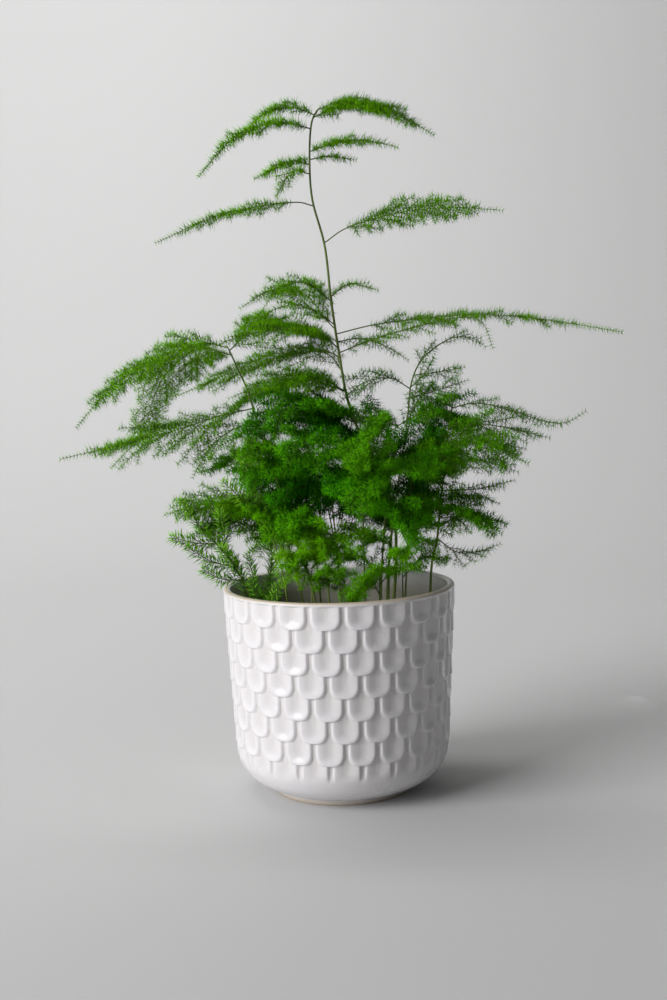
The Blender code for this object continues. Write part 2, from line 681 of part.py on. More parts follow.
def kept_sprays(frond, line, name, number, seed, room):
    """The few side sprays that the solid keeps: each third, fifth or seventh one, where it is clear."""
    kept = []
    if not frond.spread:
        return kept
    every = 2 * int(KEPT_SPACING / frond.spacing / 2) + 1
    for k, (s, spray) in list(enumerate(side_sprays(frond, line, seed)))[SPRAY_OFFSET::every]:
        for share in (1.0, 0.75, 0.5):
            short = resampled(spray[: max(4, int(len(spray) * share))], PATH_STEP)
            clear = room.free(short[5:]) and room.free(short[1:], (name, f"{name}/{number}"))
            if clear and in_open_air(short[3:]):
                room.claim(short[2:], f"{name}/{number}/{k}")
                kept.append((s, short, f"{name}/{number}/{k}"))
                break
    return kept


def frond_growth(frond, rib, sprays, name, number):
    """A frond's rib, with a whorl where each of its side sprays leaves it and a few more up to its tip."""
    length = arc_length(rib)[-1]
    twigs = {}
    for s, line, owner in sprays:
        reach = arc_length(line)[-1]
        marks = whorl_marks(COLLAR, reach, WHORL_STEP) if reach > COLLAR + 2.5 else []
        twig = Growth(line, owner, SPRAY_RADIUS, SPRAY_RADIUS * TIP_SHARE, RIB_SIDES, marks, {},
                      NEEDLE_LENGTH, RING_STEP)
        twigs.setdefault(s, []).append(twig)
    last = max([frond.bare, *twigs])
    run = length - TIP_WHORL - last
    count = max(1, round(run / RIB_WHORL_STEP)) if run > WHORL_LENGTH * 2 else 0
    marks = [*twigs, *(last + run * (k + 1) / count for k in range(count))]
    return Growth(rib, f"{name}/{number}", RIB_RADIUS, RIB_RADIUS * TIP_SHARE, RIB_SIDES, marks, twigs,
                  NEEDLE_LENGTH, RING_STEP)


def coarse_twig(line, name, number):
    """A side twig of a coarse shoot, with whorls of long needles all along it."""
    marks = whorl_marks(COLLAR + 1.0, arc_length(line)[-1] - 1.0, COARSE_WHORL_STEP)
    return Growth(line, f"{name}/{number}", RIB_RADIUS, RIB_RADIUS * TIP_SHARE, RIB_SIDES, marks, {},
                  COARSE_NEEDLE_LENGTH, RING_STEP, COARSE_WHORL_LENGTH, every=1)


def shoot_body(name, shoot, stem, ribs, sprays, room):
    """One shoot as a closed body: its stem, with every frond grown out of it."""
    rng = np.random.default_rng(SEED + len(name) + int(stem[-1][2]))
    along = arc_length(stem)
    branches = {}
    for number, (frond, rib) in enumerate(zip(shoot.fronds, ribs)):
        s = along[np.argmin(np.linalg.norm(stem - rib[0], axis=1))]
        near = [m for m in branches if abs(m - s) < WHORL_LENGTH * 2]
        mark = near[0] if near else min(s, along[-1] - 2.6)
        if shoot.coarse:
            twig = coarse_twig(rib, name, number)
        else:
            twig = frond_growth(frond, rib, sprays[number], name, number)
        branches.setdefault(mark, []).append(twig)
    marks, needle = list(branches), 0.0
    if shoot.coarse:
        plain = whorl_marks(ROOTED + shoot.bare, along[-1] - 1.0, COARSE_WHORL_STEP)
        marks += [m for m in plain if all(abs(m - b) > COARSE_WHORL_LENGTH + 1.0 for b in branches)]
        needle = COARSE_NEEDLE_LENGTH
    trunk = Growth(stem, name, shoot.radius, shoot.radius * STEM_TIP_SHARE, STEM_SIDES, marks, branches,
                   needle, STEM_RING_STEP, COARSE_WHORL_LENGTH, ROOTED + STRAIGHT_ABOVE_SOIL - 1.0, 1)
    body = Body()
    grow(body, trunk, None, room, rng)
    return body


# Pot and soil.


def scale_lip(row):
    """The height of a row's lowest points."""
    return FIRST_SCALE_Z - row * SCALE_PITCH_Z


def scale_lift(row, z):
    """How far a scale stands out at a height: full at its lower lip, nothing two rows above."""
    if row >= SCALE_ROWS:
        return 0.0
    if z >= SCALE_TOP_Z:
        return SCALE_LIP * 0.5
    return SCALE_LIP * (1.0 - (z - scale_lip(row)) / (SCALE_RUN * SCALE_PITCH_Z))


def wall_radius(z):
    """The radius of the pot's plain outer wall, which tapers a little towards its foot."""
    low_r, low_z = WALL_FOOT
    return low_r + (RIM_RADIUS - SCALE_LIP * 0.5 - low_r) * (z - low_z) / (SCALE_TOP_Z - low_z)


class PotMesh:
    """The pot as a mesh, whose corners are shared by their column, height and lift off the wall."""

    def __init__(self):
        self.bm = bmesh.new()
        self.corners = {}

    def corner(self, column, radius, z):
        """The vertex at a column, counted in scales round the pot, with its radius and height."""
        key = (round(column % SCALES_ROUND, 4), round(radius, 3), round(z, 3))
        if key not in self.corners:
            turn = 2 * math.pi * column / SCALES_ROUND + math.radians(FIRST_SCALE_TURN)
            place = (radius * MM * math.sin(turn), -radius * MM * math.cos(turn), z * MM)
            self.corners[key] = self.bm.verts.new(place)
        return self.corners[key]

    def face(self, *corners):
        """A face through these corners, with repeated ones dropped."""
        ring = [c for i, c in enumerate(corners) if c != corners[i - 1]]
        if len(ring) > 2:
            self.bm.faces.new(ring)

    def band(self, columns, low, high):
        """Faces between two levels, each a (radius, height), round the whole pot."""
        for a, b in zip(columns, [*columns[1:], columns[0] + SCALES_ROUND]):
            self.face(*(self.corner(*spot) for spot in ((a, *low), (b, *low), (b, *high), (a, *high))))


def scale_outline(row):
    """The part of a scale that shows: its rounded lip, one side, what covers it above, and the other side."""
    half, inner = SCALE_HALF_WIDTH, 0.5 - SCALE_HALF_WIDTH
    bend, bend_z = SCALE_BEND
    lip, above = scale_lip(row), scale_lip(row - 1)
    corner = [(inner, lip), (bend, lip + bend_z), (half, lip + SCALE_ROUND_Z)]
    own = [(-x, z) for x, z in reversed(corner)] + corner
    if row == 0:
        return own, [(half, SCALE_TOP_Z)], [(0.0, SCALE_TOP_Z)]
    right = [(half, above), (0.5 - bend, above + bend_z), (inner, above + SCALE_ROUND_Z)]
    right.append((inner, SCALE_TOP_Z if row == 1 else scale_lip(row - 2)))
    if row == SCALE_ROWS:
        own = [(-half, WALL_FOOT[1]), (half, WALL_FOOT[1])]
    if row == SCALE_ROWS + 1:
        own = [(-inner, WALL_FOOT[1]), (inner, WALL_FOOT[1])]
        right = right[-1:]
    return own, right, []


def scale_relief(pot):
    """The overlapping scales: each lip and side is a step down to the scale, or two scales, below it."""
    inner = 0.5 - SCALE_HALF_WIDTH
    for row in range(SCALE_ROWS + 2):
        own, right, top = scale_outline(row)
        left = [(-x, z) for x, z in reversed(right)]
        for n in range(SCALES_ROUND):
            middle = n + 0.5 * (row % 2)

            def at(spot, layer=row):
                x, z = spot
                return pot.corner(middle + x, wall_radius(z) + scale_lift(layer, z), z)

            pot.face(*(at(spot) for spot in [*own, *right, *top, *left]))
            if row >= SCALE_ROWS:
                continue
            edges = [right[0], *reversed(own), left[-1]]
            for a, b in zip(edges, edges[1:]):
                if abs(a[0] + b[0]) / 2 > inner / 2:
                    pot.face(at(a), at(b), at(b, row + 1), at(a, row + 1))
                else:
                    pot.face(at(a), at(b), at(b, row + 1), at(b, row + 2), at(a, row + 2), at(a, row + 1))


def make_pot():
    """The pot: foot, belly, scales, a rounded rim and a smooth inside."""
    pot = PotMesh()
    scale_relief(pot)
    half, inner = SCALE_HALF_WIDTH, 0.5 - SCALE_HALF_WIDTH
    low = [n + x for n in range(SCALES_ROUND) for x in (-inner, inner)]
    high = [n + x for n in range(SCALES_ROUND) for x in (-half, 0.0, half)]
    levels = [*BELLY, WALL_FOOT]
    for a, b in zip(levels, levels[1:]):
        pot.band(low, a, b)
    pot.face(*(pot.corner(c, *BELLY[0]) for c in reversed(low)))
    levels = [(RIM_RADIUS, SCALE_TOP_Z), *RIM, INSIDE[0]]
    for a, b in zip(levels, levels[1:]):
        pot.band(high, a, b)
    for n in range(SCALES_ROUND):
        edge = [pot.corner(n + x, *INSIDE[0]) for x in (-half, 0.0, half, 1 - half)]
        pot.face(*edge, pot.corner(n + 1 - half, *INSIDE[1]), pot.corner(n - half, *INSIDE[1]))
    inside = [n - half for n in range(SCALES_ROUND)]
    for a, b in zip(INSIDE[1:], INSIDE[2:]):
        pot.band(inside, a, b)
    pot.face(*(pot.corner(c, *INSIDE[-1]) for c in inside))
    bmesh.ops.triangulate(pot.bm, faces=pot.bm.faces[:])
    return finished("pot", pot.bm, "glaze")


def soil_points(roots):
    """Points for the soil's surface: its edge, each hole's four corners and middle, and the rest."""
    edge = [(SOIL_RADIUS * math.cos(a), SOIL_RADIUS * math.sin(a))
            for a in 2 * math.pi * np.arange(SOIL_SIDES) / SOIL_SIDES]
    holes = []
    for x, y, radius in roots:
        corners = [(x + (radius + HOLE_ROOM) * c, y + (radius + HOLE_ROOM) * s)
                   for c, s in ((1, 0), (0, 1), (-1, 0), (0, -1))]
        holes.append([(x, y), *corners])
    rng = np.random.default_rng(SEED)
    rest = []
    while len(rest) < SOIL_POINTS:
        spot = rng.uniform(-SOIL_RADIUS, SOIL_RADIUS, size=2)
        if math.hypot(*spot) > SOIL_RADIUS - 5.0:
            continue
        if all(math.hypot(spot[0] - x, spot[1] - y) > 6.0 for x, y, _ in roots):
            if all(math.hypot(*(spot - other)) > 7.0 for other in rest):
                rest.append(spot)
    return edge, holes, rest


def make_soil(roots):
    """The soil: it fills the pot, and each stem has a plain hole in it."""
    edge, holes, rest = soil_points(roots)
    flat = [*edge, *(spot for hole in holes for spot in hole), *rest]
    middles = {len(edge) + 5 * n for n in range(len(holes))}
    spots = [Vector((float(x), float(y))) for x, y in flat]
    triangles = delaunay_2d_cdt(spots, [], [], 0, 1e-4)[2]
    bm = bmesh.new()
    top = [bm.verts.new((x * MM, y * MM, soil_height(x, y) * MM)) for x, y in flat]
    for triangle in triangles:
        if not middles & set(triangle):
            bm.faces.new([top[n] for n in triangle])
    for n, (x, y, _) in enumerate(roots):
        first = len(edge) + 5 * n + 1
        floor_z = (soil_height(x, y) - ROOTED - GAP) * MM
        low = [bm.verts.new((flat[first + k][0] * MM, flat[first + k][1] * MM, floor_z)) for k in range(4)]
        bm.faces.new(low)
        for k in range(4):
            j = (k + 1) % 4
            bm.faces.new((top[first + j], top[first + k], low[k], low[j]))
    for n in middles:
        bm.verts.remove(top[n])
    above = top[: len(edge)]
    for radius, z in SOIL_SIDE:
        share = radius / SOIL_RADIUS
        below = [bm.verts.new((x * share * MM, y * share * MM, z * MM)) for x, y in edge]
        for k in range(len(edge)):
            j = (k + 1) % len(edge)
            bm.faces.new((above[j], above[k], below[k], below[j]))
        above = below
    bm.faces.new(list(reversed(above)))
    bmesh.ops.recalc_face_normals(bm, faces=bm.faces[:])
    bmesh.ops.triangulate(bm, faces=bm.faces[:])
    return finished("soil", bm, "soil")


FINISHES = {
    "glaze": ((0.80, 0.79, 0.76, 1.0), 0.16),
    "soil": ((0.045, 0.03, 0.02, 1.0), 0.95),
    "stems": ((0.16, 0.23, 0.06, 1.0), 0.55),
    "coarse": ((0.05, 0.15, 0.03, 1.0), 0.45),
}


def finished(name, bm, finish):
    """The named object made from a mesh, with a material of its own."""
    bm.normal_update()
    mesh = bpy.data.meshes.new(name)
    bm.to_mesh(mesh)
    bm.free()
    obj = bpy.data.objects.new(name, mesh)
    bpy.context.scene.collection.objects.link(obj)
    colour, roughness = FINISHES[finish]
    material = bpy.data.materials.new(name)
    material.use_nodes = True
    shader = material.node_tree.nodes["Principled BSDF"]
    shader.inputs["Base Color"].default_value = colour
    shader.inputs["Roughness"].default_value = roughness
    mesh.materials.append(material)
    return obj


def make_shoot(name, shoot, body):
    """The object of a grown shoot."""
    used = sorted({v for face in body.faces for v in face})
    bm = bmesh.new()
    verts = {v: bm.verts.new(body.points[v] * MM) for v in used}
    for face in sorted(body.faces):
        bm.faces.new([verts[v] for v in face])
    bmesh.ops.triangulate(bm, faces=[f for f in bm.faces if len(f.verts) > 3])
    return finished(name, bm, "coarse" if shoot.coarse else "stems")


def main():
    """Grows the shoots clear of one another, and makes the pot, the soil and every shoot."""
    shoots = {**NAMED_SHOOTS, **clump_shoots(), **tuft_shoots()}
    plants = grown(shoots)
    room = Room(FINE_CELL)
    for name, (stem, ribs) in plants.items():
        room.claim(resampled(stem, 0.5), name)
        for number, rib in enumerate(ribs):
            room.claim(resampled(rib, 0.5)[4:], f"{name}/{number}")
    sprays = {}
    for order, (name, (_, ribs)) in enumerate(plants.items()):
        sprays[name] = [
            kept_sprays(frond, rib, name, number, SEED + 97 * number + 1009 * order, room)
            for number, (frond, rib) in enumerate(zip(shoots[name].fronds, ribs))
        ]
    make_pot()
    make_soil([(*shoot.stem[0][:2], shoot.radius) for shoot in shoots.values()])
    for name, shoot in shoots.items():
        stem, ribs = plants[name]
        make_shoot(name, shoot, shoot_body(name, shoot, stem, ribs, sprays[name], room))


main()
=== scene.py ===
"""Looks of a lace fern in a glazed pot: fine foliage, glaze, soil and studio.

Lengths are in millimetres up to the moment a mesh is made. The centre lines of the stems and
fronds are the ones that the solids have, so each leafy piece stands where its solid does.
"""

import logging
import math
from dataclasses import dataclass, field, replace
from enum import Enum
from itertools import product
from typing import Union

import bpy
import numpy as np
from mathutils import Matrix


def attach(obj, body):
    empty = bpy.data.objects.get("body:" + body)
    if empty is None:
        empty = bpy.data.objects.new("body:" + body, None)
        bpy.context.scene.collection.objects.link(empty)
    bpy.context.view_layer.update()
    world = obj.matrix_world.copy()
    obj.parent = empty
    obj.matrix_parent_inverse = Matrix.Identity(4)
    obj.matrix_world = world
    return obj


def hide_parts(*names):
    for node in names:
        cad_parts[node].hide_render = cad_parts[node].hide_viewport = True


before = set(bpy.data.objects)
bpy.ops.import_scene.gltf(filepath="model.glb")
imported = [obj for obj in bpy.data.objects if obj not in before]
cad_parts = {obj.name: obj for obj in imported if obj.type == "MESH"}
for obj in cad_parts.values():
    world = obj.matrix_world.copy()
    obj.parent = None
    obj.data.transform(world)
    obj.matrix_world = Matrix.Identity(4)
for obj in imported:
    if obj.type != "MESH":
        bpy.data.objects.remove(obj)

LOG = logging.getLogger("lace_fern")
MM = 0.001
SEED = 41
UP = np.array([0.0, 0.0, 1.0])
Number = Union[np.ndarray, float]
Feed = Union[bpy.types.NodeSocket, float, tuple]


class Tissue(Enum):
    """The record's material slots for the two kinds of shoot."""

    FINE = "fine_foliage"
    COARSE = "coarse_foliage"


@dataclass(frozen=True)
class Frond:
    """A flat spray on a rib: its points, the reach of its side sprays, and how these stand on it."""

    rib: tuple
    spread: float
    bare: float = 6.0
    roll: float = 0.0
    spacing: float = 3.4
    tilt: float = 11.0


@dataclass(frozen=True)
class Shoot:
    """A stem that rises out of the soil, its thickness, and its fronds or its own coarse needles."""

    stem: tuple
    radius: float
    fronds: tuple = ()
    coarse: bool = False
    bare: float = 8.0

    @property
    def tissue(self) -> Tissue:
        """The slot that the shoot's finish comes from."""
        return Tissue.COARSE if self.coarse else Tissue.FINE


# Growth of the plant: centre lines of stems, ribs and side sprays.
PATH_STEP = 1.0
STEM_CELL = 2.1
NUDGES = (0, 7, -7, 14, -14, 21, -21, 28, -28, 36, -36, 45, -45)
SPRAYED = 0.82
SPRAY_OFFSET = 0.4
SPRAY_FIRST = 0.55
SPRAY_GROWS = 2.0
FEWEST_SPRAYS = 2
SHORTEST_SPRAY = 3.5
CURVE_POINTS = 4
SPRAY_VARIES = 0.24
SPRAY_ANGLE = (40.0, 24.0)
SPRAY_ANGLE_VARIES = 6.0
SPRAY_FORWARD = 0.2
SPRAY_DROOP = 0.10
ROOTED = 12.0
ROOT_STEP = 2.0
ROOT_GAP = 0.5
STRAIGHT_ABOVE_SOIL = 4.0
FROND_SEED = 97
SHOOT_SEED = 1009
NAME_SEED = 7

NAMED_SHOOTS: dict[str, Shoot] = {
    "tall_shoot": Shoot(
        ((35, 5), (38, 5, 150), (36, 5, 186), (19, 2, 224), (9, 0, 253), (4, 0, 285), (0, 0, 318),
         (-3, 0, 351), (-10, 0, 380), (-11, 0, 405), (-9, 0, 428), (-3, 0, 438)), 1.15, (
        Frond(((-5, 0, 436), (11, -6, 439), (33, -15, 433), (48, -20, 426), (66, -25, 414)), 20, 1, 24),
        Frond(((-9, 0, 431), (8, 8, 438), (30, 14, 440), (53, 20, 435)), 20, 2, 16),
        Frond(((-8, 0, 433), (-22, 4, 438), (-41, 14, 435), (-57, 24, 422)), 15, 1, -18),
        Frond(((-11, 0, 424), (-26, -8, 427), (-44, -16, 423), (-59, -26, 414), (-78, -40, 391)),
              15, 2, -18),
        Frond(((-11, 0, 410), (8, -10, 414), (26, -16, 413), (44, -20, 408)), 14, 1, 14),
        Frond(((-11, 0, 402), (-24, 16, 406), (-48, 32, 398)), 16, 2, -22),
        Frond(((-11, 0, 396), (-22, -14, 396), (-32, -30, 379)), 12, 4, -20),
        Frond(((-11, 0, 405), (2, 10, 408), (19, 15, 406)), 9, 4, 14),
        Frond(((-9, 0, 376), (-24, -5, 378), (-67, -20, 370), (-107, -30, 353)), 17, 14, -26),
        Frond(((-3, 0, 353), (13, -5, 362), (45, -15, 369), (75, -25, 370), (107, -30, 367)), 30, 17, 40),
        Frond(((1, 0, 316), (-17, -8, 328), (-40, -16, 322), (-57, -24, 312)), 17, 3, -26),
        Frond(((5, 0, 301), (-8, -10, 308), (-23, -18, 314), (-41, -24, 309)), 18, 4, -34),
        Frond(((6, 0, 286), (-9, -14, 296), (-32, -30, 298), (-58, -42, 294), (-84, -48, 283)), 21, 5, -30),
        Frond(((7, 0, 271), (-2, 12, 282), (-16, 24, 287), (-38, 36, 281)), 21, 3, -36),
        Frond(((8, 0, 258), (-9, -18, 267), (-33, -36, 269), (-64, -50, 257)), 24, 5, -30),
        Frond(((11, 2, 237), (-9, -18, 248), (-36, -44, 247), (-68, -62, 230)), 25, 6, -34),
        Frond(((14, 2, 227), (2, -22, 237), (-12, -40, 239), (-28, -54, 230)), 26, 4, -38),
        Frond(((1, 0, 298), (-7, 5, 306), (-26, 20, 322), (-50, 30, 325), (-64, 35, 313)), 34, 8, -16),
        Frond(((0, 0, 319), (12, -10, 326), (30, -20, 321)), 12, 1, 12),
        Frond(((8, 0, 258), (-18, 28, 266), (-52, 46, 258), (-84, 56, 236)), 30, 8, -24),
        Frond(((14, 1, 238), (0, -22, 250), (-22, -44, 252), (-44, -58, 238)), 24, 8, -20),
        Frond(((4, 0, 295), (25, 2, 300), (50, 6, 303), (93, -4, 305), (135, -16, 300), (180, -27, 291)),
              20, 22, 20, 6.5, 20),
        Frond(((4, 0, 290), (18, 9, 292), (34, 15, 287), (50, 19, 277)), 14, 4, 30, 4.5),
        Frond(((6, 0, 279), (-3, 5, 284), (-28, 15, 283), (-62, 25, 274), (-106, 40, 257)), 34, 9, -26),
        Frond(((5, 0, 283), (26, -12, 291), (58, -18, 299), (82, -21, 303), (94, -23, 299),
               (100, -25, 283)), 15, 6, 24, 3.8, 16),
    )),
    "left_arching_shoot": Shoot(
        ((-14, -8), (-19, -12, 140), (-29, -20, 173), (-36, -20, 200), (-45, -20, 229),
         (-54, -20, 261), (-60, -20, 276), (-66, -20, 290)), 0.95, (
        Frond(((-65, -20, 288), (-82, -25, 291), (-111, -35, 281), (-136, -45, 265), (-157, -50, 242)),
              30, 4, -24),
        Frond(((-64, -20, 286), (-46, 4, 302), (-20, 26, 299), (10, 44, 289)), 32, 5, 24),
        Frond(((-63, -20, 284), (-88, 16, 288), (-116, 50, 268), (-134, 70, 232), (-158, 82, 207)),
              34, 18, 26),
        Frond(((-51, -20, 250), (-71, -25, 246), (-103, -40, 237), (-130, -50, 231), (-166, -61, 224)),
              36, 6, -26),
        Frond(((-48, -20, 241), (-62, -34, 238), (-76, -42, 228), (-88, -47, 209)), 26, 5, -16),
        Frond(((-45, -20, 229), (-42, -36, 238), (-35, -50, 235)), 22, 5),
        Frond(((-39, -20, 210), (-58, 4, 218), (-86, 20, 208)), 26, 8, -28),
        Frond(((-42, -20, 218), (-44, -44, 228), (-52, -68, 220)), 24, 8),
    )),
    "right_lacy_shoot": Shoot(
        ((30, -7), (34, -7, 160), (41, -6, 205), (47, -3, 240), (50, 0, 262), (57, 2, 277),
         (70, 3, 288)), 0.85, (
        Frond(((66, 4, 286), (78, 2, 291), (90, 0, 290), (98, -5, 284)), 14, 3, 24),
        Frond(((49, 5, 258), (37, 0, 266), (20, -6, 264), (4, -12, 252)), 24, 5, -26),
        Frond(((52, 5, 267), (66, 0, 269), (84, -10, 272)), 18, 5, 26),
        Frond(((49, 5, 252), (68, 20, 257), (90, 32, 263)), 20, 6, 30),
        Frond(((45, 5, 231), (28, 12, 241), (6, 18, 240)), 22, 6, -24),
        Frond(((54, 3, 272), (60, 12, 281), (68, 20, 290)), 11, 3, 16),
        Frond(((50, 0, 260), (58, -8, 268), (65, -14, 281)), 12, 2, 30),
        Frond(((43, -6, 216), (49, -13, 240), (54, -12, 262), (61, -13, 281)), 16, 12, 80, 4.5),
    )),
    "right_tiered_shoot": Shoot(
        ((58, -8), (60, -10, 145), (64, -10, 163), (67, -8, 188), (70, -5, 208), (73, -5, 233),
         (76, -5, 249)), 0.95, (
        Frond(((75, -5, 246), (90, -10, 249), (108, -15, 245), (132, -23, 237), (145, -27, 236),
               (157, -30, 243)), 17, 4, 22),
        Frond(((73, -5, 234), (98, -10, 235), (136, -20, 226)), 25, 4, 24),
        Frond(((72, -5, 223), (96, 10, 223), (126, 20, 217)), 25, 5, 28),
        Frond(((71, -5, 213), (92, -22, 213), (114, -32, 206)), 22, 5, 20),
        Frond(((68, -8, 194), (88, -20, 195), (112, -30, 201)), 16, 5, 24),
        Frond(((67, -8, 188), (90, 8, 188), (108, 20, 181)), 13, 5, 20),
        Frond(((66, -9, 176), (86, -2, 176), (109, 8, 170)), 16, 6, 22),
        Frond(((64, -10, 163), (76, -20, 155), (90, -29, 157), (102, -35, 162)), 16, 5, 20),
        Frond(((74, -5, 239), (64, -24, 245), (52, -42, 240)), 22, 5, -18),
        Frond(((67, -9, 180), (59, -34, 189), (46, -58, 184)), 23, 5, -30),
        Frond(((66, -9, 170), (74, -32, 178), (82, -54, 171)), 23, 4, 30),
        Frond(((70, -5, 206), (74, -30, 213), (73, -54, 205)), 21, 5, 20),
        Frond(((75, -5, 246), (71, -20, 254), (71, -36, 252)), 14, 3),
        Frond(((68, -8, 195), (61, -28, 204), (59, -48, 201)), 19, 5, -16),
        Frond(((62, -10, 157), (54, -30, 165), (51, -50, 160)), 20, 5, -16),
    )),
    "left_low_shoot": Shoot(
        ((-22, -2), (-27, -4, 140), (-34, -8, 168), (-42, -12, 186)), 0.75, (
        Frond(((-40, -11, 183), (-61, -20, 190), (-85, -32, 191), (-106, -46, 187)), 32, 5, -20),
        Frond(((-36, -9, 175), (-49, -30, 180), (-59, -54, 172)), 28, 6, -14),
        Frond(((-38, -10, 179), (-56, 10, 188), (-72, 30, 186)), 25, 6, -30),
        Frond(((-33, -8, 163), (-45, -30, 176), (-56, -48, 179), (-66, -62, 172)), 25, 6, -34),
    )),
    "front_shoot": Shoot(
        ((26, -14), (28, -18, 150), (31, -28, 190), (33, -40, 212)), 0.75, (
        Frond(((32, -36, 206), (26, -58, 211), (16, -76, 201), (13, -88, 184)), 22, 5),
        Frond(((33, -39, 211), (46, -62, 216), (60, -80, 210)), 24, 5, 12),
        Frond(((31, -30, 195), (12, -48, 204), (-8, -64, 200)), 24, 5, -14),
        Frond(((29, -21, 170), (46, -36, 180), (62, -52, 176)), 20, 6, 12),
        Frond(((29, -20, 163), (15, -38, 172), (-1, -54, 168)), 22, 5, -20),
    )),
    "front_left_shoot": Shoot(
        ((-6, -12), (-8, -16, 150), (-12, -24, 200), (-14, -32, 232)), 0.75, (
        Frond(((-14, -31, 229), (-24, -54, 232), (-36, -80, 218)), 27, 5, -8),
        Frond(((-12, -25, 207), (-34, -44, 215), (-58, -60, 204)), 28, 5, -16),
        Frond(((-13, -27, 217), (6, -46, 226), (22, -66, 218)), 25, 5, 14),
        Frond(((-9, -19, 176), (-22, -40, 184), (-34, -62, 176)), 22, 6, -10),
    )),
    "coarse_shoot_over_rim": Shoot(
        ((-48, -10), (-56, -13, 127), (-62, -18, 142), (-69, -26, 156), (-78, -34, 169), (-87, -42, 182),
         (-95, -48, 196)), 0.7, (
        Frond(((-66, -22, 150), (-80, -34, 156), (-94, -44, 167)), 0),
        Frond(((-72, -29, 161), (-74, -40, 174), (-79, -49, 189)), 0),
        Frond(((-64, -20, 146), (-66, -34, 155), (-72, -46, 166)), 0),
        Frond(((-61, -17, 141), (-74, -25, 143), (-85, -36, 151)), 0),
        Frond(((-76, -32, 166), (-90, -34, 168), (-104, -42, 173)), 0),
    ), True),
    "coarse_shoot_bushy": Shoot(
        ((-47, -24), (-45, -22, 131), (-42, -20, 156), (-44, -21, 168), (-47, -23, 182)), 0.7, (
        Frond(((-46, -23, 124), (-52, -29, 136), (-56, -33, 157)), 0),
        Frond(((-46, -23, 121), (-41, -34, 130), (-36, -42, 142)), 0),
        Frond(((-43, -21, 146), (-39, -28, 155), (-37, -33, 167)), 0),
    ), True),
    "coarse_shoot_upper": Shoot(
        ((-31, -26), (-36, -30, 150), (-46, -36, 186), (-55, -42, 206), (-63, -46, 228)), 0.7, (
        Frond(((-47, -37, 190), (-58, -46, 196), (-69, -52, 207)), 0),
        Frond(((-54, -41, 204), (-53, -50, 219), (-50, -56, 234)), 0),
    ), True, 70.0),
}

# The dense middle of the plant: shoots on a spiral, each with four fronds turned about it.
GOLDEN_ANGLE = 137.508
CLUMP_CENTRE = (16.0, 4.0)
CLUMP_RADIUS = 36.0
CLUMP_SHOOTS = 7
CLUMP_FIRST = 0.6
CLUMP_STEM = 0.7
CLUMP_HEIGHT = (176.0, 256.0)
CLUMP_LEAN = (8.0, 17.0)
CLUMP_UPRIGHT_OUT = 3.0
CLUMP_UPRIGHT_TO = 150.0
CLUMP_REACH = (58.0, 84.0)
CLUMP_SPREAD = 29.0
CLUMP_TIERS = ((0.0, 3.0, 1.0, 36.0), (104.0, 15.0, 0.8, -48.0), (-118.0, 31.0, 0.8, 44.0),
               (35.0, 47.0, 0.75, -38.0))
CLUMP_SPACING = 3.2
CLUMP_TILT = 40.0
CLUMP_RISE = 9.0
CLUMP_FALL = 15.0
HEADING_VARIES = 12.0

# Short young shoots low in the front of the pot.
TUFT_ROOTS = ((40.0, -32.0, 156.0), (10.0, -36.0, 138.0), (-17.0, -38.0, 152.0), (25.0, -44.0, 148.0))
TUFT_HEADINGS = ((200.0, 272.0, 352.0), (344.0, 206.0, 262.0), (354.0, 196.0, 284.0), (186.0, 342.0, 255.0))
TUFT_STEM = 0.6
TUFT_LEAN = 2.0
TUFT_TIERS = (2.0, 8.0, 14.0)
TUFT_REACH = 28.0
TUFT_SPREAD = 21.0
TUFT_RISE = 13.0
TUFT_ROLL = 24.0
TUFT_FALL = 4.0
BARE = 5.0


def heading_vector(degrees: float) -> np.ndarray:
    """A level unit vector; 0 degrees is +X and 90 is +Y."""
    return np.array([math.cos(math.radians(degrees)), math.sin(math.radians(degrees)), 0.0])


def arching_frond(base: np.ndarray, heading: float, reach: float, rise: float, fall: float,
                  spread: float, *stance: float) -> Frond:
    """A frond that leaves its base level, rises to its middle and falls to its tip.

    Args:
        base: where it leaves its stem.
        heading: its direction seen from above, in degrees.
        reach: how far it goes out.
        rise: how much higher its middle is than its base.
        fall: how much lower its tip is than its middle.
        spread: the length of its longest side sprays.
        *stance: its roll, and its sprays' spacing and tilt, where they are not the usual ones.
    Returns:
        The frond's plan.
    """
    out = heading_vector(heading)
    middle = base + out * reach * 0.5 + [0, 0, rise]
    tip = base + out * reach + [0, 0, rise - fall]
    return Frond((tuple(base), tuple(middle), tuple(tip)), spread, BARE, *stance)


def clump_shoots() -> dict[str, Shoot]:
    """Plans the shoots of the dense middle, spaced by the golden angle and turned a little at random.

    Returns:
        The plans by name.
    """
    made = {}
    rng = np.random.default_rng(SEED)
    for i in range(CLUMP_SHOOTS):
        around, tall, reach, lean = rng.uniform(size=4)
        heading = i * GOLDEN_ANGLE + HEADING_VARIES * (2.0 * around - 1.0)
        out = heading_vector(heading)
        outer = math.sqrt((i + CLUMP_FIRST) / CLUMP_SHOOTS)
        root = np.array([*CLUMP_CENTRE, 0.0]) + out * CLUMP_RADIUS * outer
        head = root + out * mix(*CLUMP_LEAN, lean) + [0, 0, mix(*CLUMP_HEIGHT, tall)]
        upright = root + out * CLUMP_UPRIGHT_OUT + [0, 0, CLUMP_UPRIGHT_TO]
        length = mix(*CLUMP_REACH, reach)
        fronds = [
            arching_frond([*head[:2], max(head[2] - drop, CLUMP_UPRIGHT_TO)], heading + turn, length * share,
                          CLUMP_RISE, CLUMP_FALL, CLUMP_SPREAD, roll, CLUMP_SPACING, CLUMP_TILT)
            for turn, drop, share, roll in CLUMP_TIERS
        ]
        stem = (tuple(root[:2]), tuple(upright), tuple(head))
        made[f"clump_shoot_{i + 1}"] = Shoot(stem, CLUMP_STEM, tuple(fronds))
    return made


